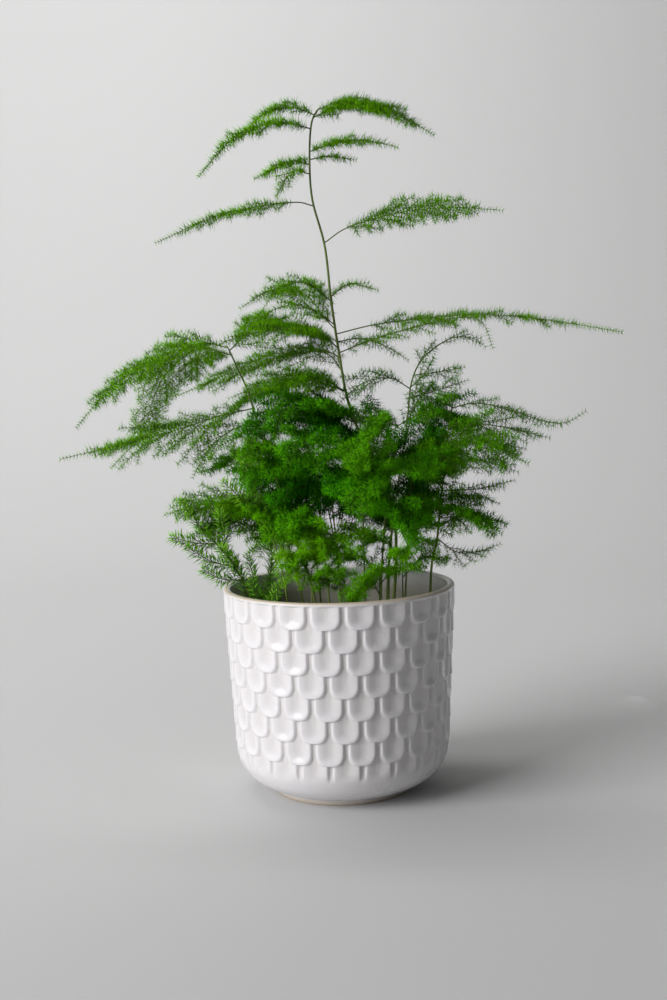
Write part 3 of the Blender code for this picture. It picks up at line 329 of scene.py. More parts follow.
def tuft_shoots() -> dict[str, Shoot]:
    """Plans the short shoots in front, each with three small fronds.

    Returns:
        The plans by name.
    """
    made = {}
    for i, ((x, y, top), headings) in enumerate(zip(TUFT_ROOTS, TUFT_HEADINGS)):
        head = np.array([x, y - TUFT_LEAN, top])
        fronds = [
            arching_frond(head - [0, 0, drop], heading, TUFT_REACH, TUFT_RISE, TUFT_FALL,
                          TUFT_SPREAD, TUFT_ROLL)
            for drop, heading in zip(TUFT_TIERS, headings)
        ]
        made[f"low_tuft_{i + 1}"] = Shoot(((x, y), tuple(head)), TUFT_STEM, tuple(fronds))
    return made


# Lines and the room they take.
SPAN_POINTS = 24
NEAR_ZERO = 1e-9


def mix(a: Number, b: Number, share: Number) -> Number:
    """The value a share of the way from a to b: a + (b - a) * share."""
    return a + (b - a) * share


def smooth_step(low: float, high: float, x: Number) -> Number:
    """0 below low, 1 above high and 3t^2 - 2t^3 between, with t the share of the way."""
    t = np.clip((x - low) / (high - low), 0.0, 1.0)
    return t * t * (3.0 - 2.0 * t)


def unit(vectors: np.ndarray) -> np.ndarray:
    """The vectors divided by their lengths."""
    return vectors / np.maximum(np.linalg.norm(vectors, axis=-1, keepdims=True), NEAR_ZERO)


@dataclass
class Line:
    """A polyline through space.

    Args:
        points: its points, one row each.
    """

    points: np.ndarray

    @classmethod
    def through(cls, points: list, step: float = PATH_STEP) -> "Line":
        """A smooth Catmull-Rom curve through the given points, read at even steps.

        Each span from b to c is half of 2b + (c - a)t + (2a - 5b + 4c - d)t^2 + (3b - a - 3c + d)t^3.

        Args:
            points: the points that it passes through.
            step: the distance between its own points.
        Returns:
            The curve as a line.
        """
        p = np.array(points, float)
        p = np.vstack([2 * p[0] - p[1], p, 2 * p[-1] - p[-2]])
        t = np.linspace(0, 1, SPAN_POINTS, endpoint=False)[:, None]
        spans = [
            0.5 * (2 * b + (c - a) * t + (2 * a - 5 * b + 4 * c - d) * t**2 + (3 * b - a - 3 * c + d) * t**3)
            for a, b, c, d in zip(p, p[1:], p[2:], p[3:])
        ]
        return cls(np.vstack([*spans, p[-2:-1]])).resampled(step)

    @property
    def along(self) -> np.ndarray:
        """The distance of each point from the line's start."""
        return np.concatenate([[0.0], np.cumsum(np.linalg.norm(np.diff(self.points, axis=0), axis=1))])

    @property
    def length(self) -> float:
        """The line's whole length."""
        return float(self.along[-1])

    def at(self, s: np.ndarray) -> np.ndarray:
        """The points at these distances along the line."""
        along = self.along
        return np.stack([np.interp(s, along, self.points[:, k]) for k in range(3)], -1)

    def way(self, s: float) -> np.ndarray:
        """The unit direction at a distance along the line."""
        i = int(np.clip(np.searchsorted(self.along, s), 1, len(self.points) - 1))
        return unit(self.points[min(i + 1, len(self.points) - 1)] - self.points[max(i - 2, 0)])

    def resampled(self, step: float) -> "Line":
        """The same line with its points an even step apart."""
        return Line(self.at(np.linspace(0, self.length, max(2, round(self.length / step) + 1))))

    def turned(self, degrees: float, about: np.ndarray | None = None) -> "Line":
        """The line turned about a vertical: p = centre + (p - centre) times the turn's matrix.

        Args:
            degrees: how far, seen from above.
            about: a point of the vertical, by default the line's first point.
        Returns:
            The turned line.
        """
        c, s = math.cos(math.radians(degrees)), math.sin(math.radians(degrees))
        centre = self.points[0] if about is None else about
        turn = np.array([[c, s, 0.0], [-s, c, 0.0], [0.0, 0.0, 1.0]])
        return Line(centre + (self.points - centre) @ turn)


@dataclass
class Room:
    """Which small cubes of space hold which line, so that a new line can be kept clear of the rest.

    Args:
        cell: the side of a cube.
        taken: the owners of each cube, by its place in the grid.
        around: the steps from a cube to itself and to those that touch it.
    """

    cell: float
    taken: dict = field(default_factory=dict)
    around: tuple = tuple(product((-1, 0, 1), repeat=3))

    def cells(self, points: np.ndarray) -> set:
        """The cubes that these points lie in."""
        return {tuple(c) for c in np.floor(points / self.cell).astype(int)}

    def claim(self, points: np.ndarray, owner: str) -> None:
        """The cubes along these points belong to this owner from now on."""
        for key in self.cells(points):
            self.taken.setdefault(key, set()).add(owner)

    def free(self, points: np.ndarray, ignore: tuple = ()) -> bool:
        """Whether no cube on or next to these points belongs to anyone outside ignore.

        Args:
            points: the places asked for.
            ignore: owners that don't count.
        Returns:
            True if all of it is free.
        """
        near = ((x + i, y + j, z + k) for x, y, z in self.cells(points) for i, j, k in self.around)
        return not any(self.taken.get(key, set()) - set(ignore) for key in near)


# Soil and pot.


@dataclass(frozen=True)
class SoilShape:
    """The soil's surface and the body that fills the pot below it."""

    radius: float = 68.5
    level: float = 108.0
    bump: float = 1.3
    waves: tuple = (0.21, 0.24, 0.33, 0.2)
    wave_start: float = 0.6
    mound: float = 3.0
    mound_radius: float = 46.0
    fade_radius: float = 69.0
    lump: tuple = (9.0, 6.0, 11.0, 9.0)
    side: tuple = ((63.3, 26.4), (56.8, 15.5), (43.4, 7.9))

    def height(self, x: Number, y: Number) -> Number:
        """Level + mound + lump + ripple.

        The mound and the lump are bells. The ripple is sin(ax + start) cos(by) + sin(cy - dx) / 2 and
        dies out at the wall.

        Args:
            x, y: places on the soil.
        Returns:
            The surface's height at each place.
        """
        away = np.hypot(x, y)
        a, b, c, d = self.waves
        ripple = self.bump * (np.sin(a * x + self.wave_start) * np.cos(b * y) + 0.5 * np.sin(c * y - d * x))
        mound = self.mound * np.exp(-((away / self.mound_radius) ** 2))
        lump_x, lump_y, lump_z, lump_r = self.lump
        lump = lump_z * np.exp(-((x - lump_x) ** 2 + (y - lump_y) ** 2) / lump_r**2)
        return self.level + mound + ripple * (1.0 - (away / self.fade_radius) ** 2) + lump


@dataclass(frozen=True)
class PotShape:
    """The pot's measures, the same as the solid's."""

    rim_radius: float = 75.0
    height: float = 134.0
    inner_radius: float = 69.0
    wall_foot: tuple = (68.6, 26.0)
    belly: tuple = ((68.6, 26.0), (66.9, 19.5), (62.3, 12.6), (54.8, 6.9), (46.6, 3.4))
    foot: tuple = ((46.0, 2.9), (45.7, 1.2), (45.2, 0.25), (44.6, 0.0))
    underside: tuple = ((0.04, 0.0), (22.0, 0.0), (43.9, 0.0))
    floor: tuple = ((22.0, 7.5), (0.04, 7.5))
    lip_centre: tuple = (72.75, 132.6)
    lip_size: tuple = (2.25, 1.4)
    inside: tuple = ((70.5, 131.7), (69.2, 104.0), (66.6, 65.0), (64.0, 26.0), (57.5, 15.0), (44.0, 7.5))


@dataclass(frozen=True)
class ScaleRelief:
    """Overlapping round-ended scales in staggered rows, as a height over the plain wall."""

    round_the_pot: int = 22
    rows: int = 7
    first_turn: float = -6.8
    top_z: float = 132.0
    first_z: float = 117.0
    pitch_z: float = 14.15
    pitch_x: float = 21.1
    half_width: float = 0.43
    round_z: float = 7.0
    squareness: float = 2.5
    lip: float = 1.3
    run: float = 2.15
    dish: float = 1.25
    rim: tuple = (0.8, 8.8)
    deepest: float = -0.45
    step: tuple = (-0.15, 0.45)
    foot_z: tuple = (20.5, 29.5)
    foot_lift: float = 0.45
    rim_run: float = 1.0

    @property
    def rim_lift(self) -> float:
        """How far the plain band under the rim stands out."""
        return self.lip * 0.5

    def one_row(self, row: int, x: np.ndarray, z: Number) -> tuple:
        """The height of one row's scales and how far a place is inside their outline.

        A scale is a squarish oval below, (across^n + below^n)^(1/n) = 1, and straight-sided above.
        Its height falls evenly from its lip upwards, lip * (1 - up / (run * pitch)), and a soft
        valley runs down its middle, no lower than the deepest.

        Args:
            row: which row, 0 at the top.
            x: places round the pot, counted in scales.
            z: their heights.
        Returns:
            The height, and the depth inside the outline in millimetres, negative outside.
        """
        offset = (x - 0.5 * (row % 2) + 0.5) % 1.0 - 0.5
        up = z - (self.first_z - row * self.pitch_z)
        across = np.abs(offset / self.half_width)
        below = np.maximum((self.round_z - up) / self.round_z, 0.0)
        oval = (across**self.squareness + below**self.squareness) ** (1.0 / self.squareness)
        inside = (1.0 - oval) * self.half_width * self.pitch_x
        tall = self.lip * (1.0 - np.clip(up, 0.0, None) / (self.run * self.pitch_z))
        return np.maximum(tall - self.dish * smooth_step(*self.rim, inside), self.deepest), inside

    def height(self, x: np.ndarray, z: Number) -> np.ndarray:
        """The relief: each row from the lowest up is laid over the one below with a soft step.

        Args:
            x: places round the pot, counted in scales.
            z: their heights.
        Returns:
            How far the wall stands out at each place.
        """
        lift = np.zeros(np.broadcast(x, z).shape)
        for row in range(self.rows + 1, -1, -1):
            tall, inside = self.one_row(row, x, z)
            lift = mix(lift, tall, smooth_step(*self.step, inside))
        lift = mix(self.foot_lift, lift, smooth_step(*self.foot_z, z))
        return mix(lift, self.rim_lift, smooth_step(self.top_z - self.rim_run, self.top_z, z))


# Meshes.
STEEP = 0.9
ASKEW = (0.13, 0.31, 0.94)
BELLY_AT = 0.4
LEAF_THICKNESS = 0.42
NEEDLE_THICKNESS = 0.8
NEEDLE_TIP = 3
FEWEST_RINGS = 3
SHORT_TUBE_STEPS = 2.5


@dataclass
class MeshBuffer:
    """Closed surfaces gathered into one mesh, with numbers kept on each vertex.

    Args:
        traits: the names of the per-vertex numbers.
    """

    traits: tuple
    points: list = field(default_factory=list)
    faces: list = field(default_factory=list)
    values: list = field(default_factory=list)
    count: int = 0

    def add(self, points: np.ndarray, faces: np.ndarray, values: np.ndarray) -> None:
        """Adds a surface.

        Args:
            points: its points, one row each.
            faces: its faces as rows of corner numbers.
            values: a row of traits for each point.
        """
        self.points.append(points)
        self.faces.append(faces + self.count)
        self.values.append(values)
        self.count += len(points)

    def add_rings(self, points: np.ndarray, values: np.ndarray) -> None:
        """Adds a closed surface of rings, with one flat face over its first ring and one over its last.

        Args:
            points: the rings as rows, columns and coordinates; each ring closes on itself.
            values: a row of traits for each point, ring after ring.
        """
        rows, columns = points.shape[:2]
        first = np.arange(columns)[::-1][None] + self.count
        last = np.arange(columns)[None] + self.count + (rows - 1) * columns
        self.add(points.reshape(-1, 3), grid_faces(rows, columns), values)
        self.faces += [first, last]

    def to_object(self, name: str, material: bpy.types.Material, slot: str, nodes: tuple) -> None:
        """Makes the mesh object, which rides on the root body and stands for the given nodes.

        Args:
            name: the piece's name.
            material: its material.
            slot: the record's material slot; not used.
            nodes: the nodes that it replaces.
        """
        points = np.concatenate(self.points) * MM
        corners = np.concatenate([f.ravel() for f in self.faces])
        sizes = np.concatenate([np.full(len(f), f.shape[1]) for f in self.faces])
        mesh = bpy.data.meshes.new(name)
        mesh.vertices.add(len(points))
        mesh.vertices.foreach_set("co", points.ravel())
        mesh.loops.add(len(corners))
        mesh.loops.foreach_set("vertex_index", corners)
        mesh.polygons.add(len(sizes))
        mesh.polygons.foreach_set("loop_start", np.cumsum(sizes) - sizes)
        mesh.polygons.foreach_set("use_smooth", np.ones(len(sizes), bool))
        mesh.update(calc_edges=True)
        values = np.concatenate(self.values)
        for k, trait in enumerate(self.traits):
            layer = mesh.attributes.new(trait, "FLOAT", "POINT")
            layer.data.foreach_set("value", np.ascontiguousarray(values[:, k], dtype=np.float32))
        mesh.materials.append(material)
        obj = bpy.data.objects.new(name, mesh)
        bpy.context.scene.collection.objects.link(obj)
        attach(obj, "root")
        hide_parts(*nodes)
        LOG.info("%s: %d faces", name, len(sizes))


def grid_faces(rows: int, columns: int) -> np.ndarray:
    """Four-cornered faces of a grid that closes round its columns, rows running outwards or upwards.

    Args:
        rows, columns: how many points it has each way.
    Returns:
        The faces as rows of corner numbers.
    """
    low = np.arange(rows - 1)[:, None] * columns
    here = low + np.arange(columns)[None]
    beside = low + (np.arange(columns)[None] + 1) % columns
    return np.stack([here, beside, beside + columns, here + columns], -1).reshape(-1, 4)


def rings(centres: np.ndarray, u: np.ndarray, v: np.ndarray, radii: Number, sides: int,
          flat: float = 1.0) -> np.ndarray:
    """Rings of points: centre + r (cos a u + flat sin a v), with a at even turns.

    Args:
        centres: the rings' middles.
        u, v: two unit directions across each.
        radii: the radius of each, or one for all.
        sides: how many points each has.
        flat: how thick they are along v.
    Returns:
        The points as rings, turns and coordinates.
    """
    turns = (2 * math.pi * np.arange(sides) / sides)[None, :, None]
    spokes = np.cos(turns) * u[:, None] + flat * np.sin(turns) * v[:, None]
    return centres[:, None] + np.reshape(radii, (-1, 1, 1)) * spokes


def tube(line: np.ndarray, radii: np.ndarray, sides: int) -> tuple:
    """A closed tube with a flat start and a pointed end, of rings that lie square to the line.

    Args:
        line: the centre points.
        radii: the radius at each but the last, where the tube ends in a point.
        sides: the number of sides.
    Returns:
        The points and the three-cornered faces.
    """
    ways = unit(np.gradient(line, axis=0))
    across = UP if abs(unit(line[-1] - line[0])[2]) < STEEP else np.array([1.0, 0.0, 0.0])
    u = unit(np.cross(across, ways))
    v = np.cross(ways, u)
    count = len(line) - 1
    points = np.concatenate([rings(line[:-1], u[:-1], v[:-1], radii, sides).reshape(-1, 3), line[-1:]])
    quads = grid_faces(count, sides)
    k = np.arange(sides)
    tip = np.full(sides, count * sides)
    end = np.stack([(count - 1) * sides + k, (count - 1) * sides + (k + 1) % sides, tip], -1)
    start = np.stack([np.zeros(sides - 2, int), np.arange(2, sides), np.arange(1, sides - 1)], -1)
    return points, np.concatenate([quads[:, [0, 1, 2]], quads[:, [0, 2, 3]], end, start])


def needles(bases: np.ndarray, aims: np.ndarray, lengths: np.ndarray, width: float, belly: bool) -> tuple:
    """Small closed spikes: three-sided pyramids, or spindles widest at two fifths if belly is true.

    Args:
        bases: where each starts.
        aims: its unit direction.
        lengths: how long each is.
        width: how wide they are.
        belly: whether they narrow to a point at their starts too.
    Returns:
        The points and the three-cornered faces.
    """
    u = unit(np.cross(aims, ASKEW))
    middle = bases + aims * (lengths * (BELLY_AT if belly else 0.0))[:, None]
    ring = rings(middle, u, np.cross(aims, u), 0.5 * width, 3, LEAF_THICKNESS if belly else NEEDLE_THICKNESS)
    tips = bases + aims * lengths[:, None]
    points = np.concatenate([ring, tips[:, None]] + ([bases[:, None]] if belly else []), axis=1)
    back = [[1, 0, 4], [2, 1, 4], [0, 2, 4]] if belly else [[0, 2, 1]]
    corners = np.array([[0, 1, 3], [1, 2, 3], [2, 0, 3], *back])
    faces = np.arange(len(bases))[:, None, None] * points.shape[1] + corners
    return points.reshape(-1, 3), faces.reshape(-1, 3)


# The plant.


def spray_profile(share: float) -> float:
    """A side spray's share of the longest one: min(1, first + grows * share) * sqrt(1 - share)."""
    return min(1.0, SPRAY_FIRST + SPRAY_GROWS * share) * (1.0 - share) ** 0.5


@dataclass(frozen=True)
class FrondLines:
    """A frond as it has grown: its plan, its rib and the seed of its side sprays."""

    plan: Frond
    rib: Line
    seed: int

    @property
    def middle(self) -> np.ndarray:
        """The rib's middle point."""
        return self.rib.points[len(self.rib.points) // 2]

    @property
    def side(self) -> np.ndarray:
        """The level direction square to the rib's run, tipped by the frond's roll.

        Returns:
            A unit vector, cos(roll) * level + sin(roll) * lift.
        """
        chord = self.rib.points[-1] - self.rib.points[0]
        level = unit(np.array([-chord[1], chord[0], 0.0]))
        lift = np.cross(unit(chord), level)
        roll = math.radians(self.plan.roll)
        return math.cos(roll) * level + math.sin(roll) * lift

    def sprays(self, stretched: float) -> list:
        """The side sprays: alternate, swept forward and a little bent.

        Each runs along out * reach * t + bend * t^2, where bend leads forward and down.

        Args:
            stretched: how much longer they are than the solid's.
        Returns:
            The share along the rib and the line of each.
        """
        length, side, bare = self.rib.length, self.side, self.plan.bare
        count = max(FEWEST_SPRAYS, int((length - bare) * SPRAYED / self.plan.spacing))
        draws = np.random.default_rng(self.seed).uniform(-1, 1, size=(count, 3))
        found = []
        for k, (stretch, tilt, sweep) in enumerate(draws):
            share = (k + SPRAY_OFFSET) / count
            s = bare + share * (length - bare) * SPRAYED
            base, way = self.rib.at(s), self.rib.way(s)
            reach = self.plan.spread * spray_profile(share) * (1.0 + SPRAY_VARIES * stretch)
            reach = stretched * max(SHORTEST_SPRAY, reach)
            angle = math.radians(mix(*SPRAY_ANGLE, share) + SPRAY_ANGLE_VARIES * sweep)
            hand = side if k % 2 else -side
            lift = np.cross(side, way) * math.sin(math.radians(self.plan.tilt * tilt))
            out = unit(math.cos(angle) * way + math.sin(angle) * hand + lift)
            t = np.linspace(0, 1, max(CURVE_POINTS, int(reach / PATH_STEP)))[:, None]
            bend = (way * SPRAY_FORWARD - UP * SPRAY_DROOP) * reach
            found.append((share, Line(base + out * reach * t + bend * t**2)))
        return found


@dataclass
class Planting:
    """All the shoots' stem and rib lines, turned about their roots where they would meet.

    Args:
        shoots: the plans by name.
        soil, pot: what the shoots stand in and keep clear of.
        lines: each shoot's stem and fronds, filled in as it grows.
        over_soil, off_wall, round_pot: how far a leaf keeps from the soil, the wall and the rim.
        from_joint, from_stem, from_all: the rib's points from which it holds room, has to keep clear
            of other shoots, and of its own.
    """

    shoots: dict
    soil: SoilShape
    pot: PotShape
    lines: dict = field(default_factory=dict)
    over_soil: float = 1.6
    off_wall: float = 1.5
    round_pot: float = 2.0
    from_joint: int = 3
    from_stem: int = 4
    from_all: int = 9

    def stem(self, shoot: Shoot) -> Line:
        """The stem's centre line: straight up out of the soil, then its own smooth curve.

        Args:
            shoot: the shoot's plan.
        Returns:
            The line, from its root up.
        """
        x, y = shoot.stem[0]
        ground = float(self.soil.height(x, y))
        start = (x, y, ground + STRAIGHT_ABOVE_SOIL)
        rooted = [(x, y, z) for z in np.arange(ground - ROOTED, start[2] - ROOT_GAP, ROOT_STEP)]
        return Line(np.vstack([rooted, Line.through([start, *shoot.stem[1:]]).points]))

    def in_open_air(self, points: np.ndarray) -> np.ndarray:
        """Which of the points keep clear of the soil and of the pot's wall.

        Args:
            points: the points asked for.
        Returns:
            True for each that is clear.
        """
        x, y, z = points.T
        away = np.hypot(x, y)
        over_pot = away < self.pot.rim_radius + self.round_pot
        in_soil = over_pot & (z < self.soil.height(x, y) + self.over_soil)
        inner, outer = self.pot.inner_radius - self.off_wall, self.pot.rim_radius + self.off_wall
        at_wall = (away > inner) & (away < outer)
        return ~(in_soil | (at_wall & (z < self.pot.height + self.off_wall)))

    def grow(self) -> None:
        """Fills in lines: for each shoot its stem and its fronds."""
        room = Room(STEM_CELL)
        turns = {}
        for name, shoot in self.shoots.items():
            line = self.stem(shoot)
            turns[name] = next((n for n in NUDGES if room.free(line.turned(n).points)), 0)
            self.lines[name] = (line.turned(turns[name]), [])
            room.claim(self.lines[name][0].points, name)
        for order, (name, shoot) in enumerate(self.shoots.items()):
            stem, fronds = self.lines[name]
            for number, plan in enumerate(shoot.fronds):
                route = Line(np.array(plan.rib, float)).turned(turns[name], stem.points[0]).points
                joint = stem.points[np.argmin(np.linalg.norm(stem.points - route[0], axis=1))]
                rib = self.clear_rib(Line.through([joint, *route[1:]]), name, room)
                room.claim(rib.points[self.from_joint:], f"{name}/{number}")
                fronds.append(FrondLines(plan, rib, SEED + FROND_SEED * number + SHOOT_SEED * order))

    def clear_rib(self, rib: Line, name: str, room: Room) -> Line:
        """The rib turned by the first of the nudges that keeps it clear of everything, if one does.

        Args:
            rib: the rib as planned.
            name: its own shoot, which it may touch where it starts.
            room: what is taken.
        Returns:
            The turned rib.
        """
        for nudge in NUDGES:
            tried = rib.turned(nudge)
            p = tried.points
            clear = room.free(p[self.from_all:]) and room.free(p[self.from_stem:], (name,))
            if clear and self.in_open_air(p[self.from_joint:]).all():
                return tried
        return rib


@dataclass(frozen=True)
class Habit:
    """How leafy a frond is and how much light it gets.

    Args:
        width: the width of its needles.
        step: the distance between its whorls.
        twig_from: the shortest side spray that has twigs.
        twig_step: the distance between them.
        sun: 1 for a frond out in the light and 0 for one in the dense middle.
        reach: how long its needles are, as a share of the usual length.
        stretch: how much longer its side sprays are than the solid's.
    """

    width: float
    step: float
    twig_from: float
    twig_step: float
    sun: float
    reach: float
    stretch: float = 1.0

    def towards(self, other: "Habit", share: float) -> "Habit":
        """The habit a share of the way from this one to the other."""
        ours, theirs = vars(self), vars(other)
        return Habit(**{key: float(mix(ours[key], theirs[key], share)) for key in ours})


TOP_HABIT = Habit(width=0.51, step=1.75, twig_from=8.0, twig_step=4.6, sun=0.9, reach=1.28)
OPEN_HABIT = Habit(width=0.48, step=1.85, twig_from=11.0, twig_step=5.3, sun=0.9, reach=1.18)
AIRY_HABIT = Habit(width=0.41, step=2.1, twig_from=11.0, twig_step=5.8, sun=0.85, reach=1.15)
LACY_HABIT = Habit(width=0.40, step=2.4, twig_from=12.0, twig_step=6.0, sun=0.45, reach=1.15)
CROWDED_HABIT = Habit(width=0.66, step=2.0, twig_from=7.5, twig_step=4.7, sun=0.0, reach=1.35, stretch=1.3)
TUFT_HABIT = Habit(width=0.52, step=1.6, twig_from=6.0, twig_step=4.0, sun=0.5, reach=1.2)
COARSE_HABIT = Habit(width=1.2, step=1.7, twig_from=0.0, twig_step=0.0, sun=0.9, reach=1.0)

# Where one habit or tone gives way to another, by place; each pair is a smooth step's two ends.
OPEN_OVER_Z = (335.0, 365.0)
TOP_OVER_Z = (385.0, 410.0)
TOP_BEYOND_X = (55.0, 75.0)
ARCH_TOP_Z = (250.0, 300.0)
CROWDED_WITHIN = (100.0, 58.0)
CROWDED_UNDER_Z = (280.0, 240.0)
CROWDED_OVER_Z = (160.0, 195.0)
YOUNG_BEFORE_Y = (20.0, -70.0)
YOUNG_UNDER_Z = (270.0, 180.0)


@dataclass(frozen=True)
class Bark:
    """A woody tube: its radius and its tone at both ends, its sides and the step between its rings.

    The stem's radii are shares of its shoot's own.
    """

    radii: tuple
    sides: int
    step: float
    tone: tuple


STEM = Bark((1.0, 0.5), 7, 4.0, (0.95, 0.25))
RIB = Bark((0.42, 0.16), 5, 3.0, (0.3, 0.45))
COARSE_RIB = Bark((0.42, 0.2), 5, 3.0, (0.3, 0.6))
SPRAY = Bark((0.24, 0.1), 3, 3.0, (0.4, 0.5))
TWIG = Bark((0.16, 0.08), 3, 2.5, (0.45, 0.55))


@dataclass(frozen=True)
class Whorl:
    """How a whorl's needles stand on their twig and how they differ.

    Args:
        needles: how many it has.
        loose: how far each is off its even place, as a share of the step between two.
        twist: how far it is turned on from the whorl before, in radians, or 0 for any way at random.
        lean: the least and the greatest angle between needle and twig, in degrees.
        lengths: the shortest needle and the longest.
        flatness: its thickness across the frond's flat side.
        shorter: how much shorter the needles are at the twig's tip.
        shorter_from: the share of the way from which they shorten.
        lighter: how much lighter they are at the twig's tip than at its start.
        varied: how much their tones differ.
        belly: whether they are flat leaves, widest part of the way along.
    """

    needles: int
    loose: float
    twist: float
    lean: tuple
    lengths: tuple
    flatness: float
    shorter: float
    shorter_from: float
    lighter: float
    varied: float
    belly: bool


FINE_WHORL = Whorl(needles=6, loose=0.35, twist=0.0, lean=(48.0, 82.0), lengths=(3.5, 5.3), flatness=0.9,
                   shorter=0.3, shorter_from=0.75, lighter=0.32, varied=0.2, belly=False)
COARSE_WHORL = Whorl(needles=6, loose=0.3, twist=1.1, lean=(38.0, 72.0), lengths=(6.6, 9.0), flatness=1.0,
                     shorter=0.4, shorter_from=0.8, lighter=0.2, varied=0.32, belly=True)


@dataclass
class LeafyShoot:
    """One shoot's mesh of stems, twigs and needles.

    Args:
        name: the shoot's name.
        planting: the lines and what they keep clear of.
        whorl_offset: where a line's first whorl is, as a share of the step between two.
        whorl_reach: how far each way the line's direction is read.
        even_share: the share of the way at which needles have their line's own tone.
        tip_lightens: how much lighter a needle is at its tip.
        coarse_side: the flat side that the coarse leaves are turned from.
        frond_tone: how light a frond is, and how much lighter a young one.
        rib_needles, twig_needles: how long needles are there, as a share of the usual length.
        twig_margin: a spray's length without twigs at its start, and at both ends together.
        twig_share, twig_least: a twig's length for what is left of the spray, and its least length.
        twig_way: how much a twig runs ahead, to the side and, at most, askew.
    """

    name: str
    planting: Planting
    whorl_offset: float = 0.6
    whorl_reach: float = 0.6
    even_share: float = 0.3
    tip_lightens: float = 0.18
    coarse_side: tuple = (1.0, 0.2, 0.1)
    coarse_start: float = 3.0
    coarse_tone: float = 0.46
    frond_tone: tuple = (0.36, 0.24)
    frond_varies: float = 0.06
    rib_needles: float = 0.85
    spray_start: float = 1.2
    spray_lightens: float = 0.08
    spray_varies: float = 0.10
    twig_margin: tuple = (4.0, 5.0)
    twig_share: float = 0.4
    twig_least: float = 1.5
    twig_way: tuple = (0.80, 0.60, 0.25)
    twig_droop: float = 0.06
    twig_start: float = 0.8
    twig_varies: tuple = (-0.06, 0.14)
    twig_needles: float = 0.9

    def __post_init__(self) -> None:
        """Starts the mesh and the shoot's random draws."""
        self.shoot: Shoot = self.planting.shoots[self.name]
        self.stem, self.fronds = self.planting.lines[self.name]
        self.buffer = MeshBuffer(("tone", "wood", "sun"))
        self.rng = np.random.default_rng(SEED + len(self.name) * NAME_SEED + int(self.stem.points[-1][2]))

    def build(self, materials: dict) -> None:
        """Makes the piece that stands for the shoot's node.

        Args:
            materials: the material of each tissue.
        """
        radii = tuple(self.shoot.radius * share for share in STEM.radii)
        self.add_tube(self.stem, replace(STEM, radii=radii))
        for frond in self.fronds:
            if self.shoot.coarse:
                self.add_tube(frond.rib, COARSE_RIB)
                self.add_leaves(frond.rib, self.coarse_start)
            else:
                self.add_frond(frond, self.habit(frond))
        if self.shoot.coarse:
            self.add_leaves(self.stem, ROOTED + self.shoot.bare - 1.0)
        tissue = self.shoot.tissue
        self.buffer.to_object(f"{self.name}_foliage", materials[tissue], tissue.value, (self.name,))

    def add_tube(self, line: Line, bark: Bark) -> None:
        """Adds a tapering tube along a line.

        Args:
            line: the tube's centre line.
            bark: its radii, rings and tones.
        """
        path = line.resampled(bark.step).points
        if len(path) < FEWEST_RINGS:
            path = line.resampled(line.length / SHORT_TUBE_STEPS).points
        shares = np.linspace(0, 1, len(path))[:-1]
        points, faces = tube(path, mix(*bark.radii, shares), bark.sides)
        tones = np.append(np.repeat(mix(*bark.tone, shares), bark.sides), bark.tone[1])
        self.buffer.add(points, faces, np.stack([tones, np.ones(len(points)), np.zeros(len(points))], -1))

    def whorl_frames(self, line: Line, start: float, side: np.ndarray, step: float) -> tuple:
        """Places for whorls on a line.

        Args:
            line: the stem, rib, spray or twig.
            start: how far along it the first one may be.
            side: the frond's flat side.
            step: the distance between whorls.
        Returns:
            Their points, the line's direction there, the flat side square to it, and the share of the way.
        """
        count = max(1, int((line.length - start) / step))
        s = start + (np.arange(count) + self.whorl_offset) * (line.length - start) / count
        ahead = line.at(np.minimum(s + self.whorl_reach, line.length))
        behind = line.at(np.maximum(s - self.whorl_reach, 0.0))
        ways = unit(ahead - behind)
        flats = unit(side - ways * (ways @ side)[:, None])
        return line.at(s), ways, flats, s / line.length

    def add_whorls(self, line: Line, start: float, side: np.ndarray, tone: float, habit: Habit,
                   shrink: float = 1.0, whorl: Whorl = FINE_WHORL) -> None:
        """Adds whorls of needles along a line, except for needles that would touch the pot or the soil.

        A needle's direction is cos(lean) * way + sin(lean) * across, where across is
        cos(turn) * flat + flatness * sin(turn) * normal.

        Args:
            line: the stem, rib, spray or twig.
            start: how far along it the first whorl may be.
            side: the frond's flat side.
            tone: how light the needles are.
            habit: how leafy the frond is.
            shrink: a share of the needles' usual length.
            whorl: how the needles stand.
        """
        points, ways, flats, shares = self.whorl_frames(line, start, side, habit.step)
        n, rows = whorl.needles, len(points)
        count = rows * n
        off = self.rng.uniform(-whorl.loose, whorl.loose, count)
        turn = 2 * math.pi * (np.tile(np.arange(n), rows) + off) / n
        twists = np.arange(rows) * whorl.twist if whorl.twist else self.rng.uniform(0, 2 * math.pi, rows)
        turn += np.repeat(twists, n)
        ways, flats, bases, shares = (np.repeat(a, n, axis=0) for a in (ways, flats, points, shares))
        normals = np.cross(ways, flats)
        radial = unit(np.cos(turn)[:, None] * flats + whorl.flatness * np.sin(turn)[:, None] * normals)
        lean = np.radians(self.rng.uniform(*whorl.lean, count))[:, None]
        aims = unit(np.cos(lean) * ways + np.sin(lean) * radial)
        near_tip = 1.0 - whorl.shorter * smooth_step(whorl.shorter_from, 1.0, shares)
        lengths = self.rng.uniform(*whorl.lengths, count) * near_tip * shrink * habit.reach
        varied = self.rng.uniform(-whorl.varied, whorl.varied, count)
        tones = tone + whorl.lighter * (shares - self.even_share) + varied
        clear = self.planting.in_open_air(bases + aims * lengths[:, None])
        points, faces = needles(bases[clear], aims[clear], lengths[clear], habit.width, whorl.belly)
        found = np.count_nonzero(clear)
        shade = np.repeat(tones[clear], len(points) // max(found, 1)).reshape(found, -1)
        shade[:, NEEDLE_TIP] += self.tip_lightens
        lit = np.full(len(points), habit.sun)
        self.buffer.add(points, faces, np.stack([shade.ravel(), np.zeros(len(points)), lit], -1))

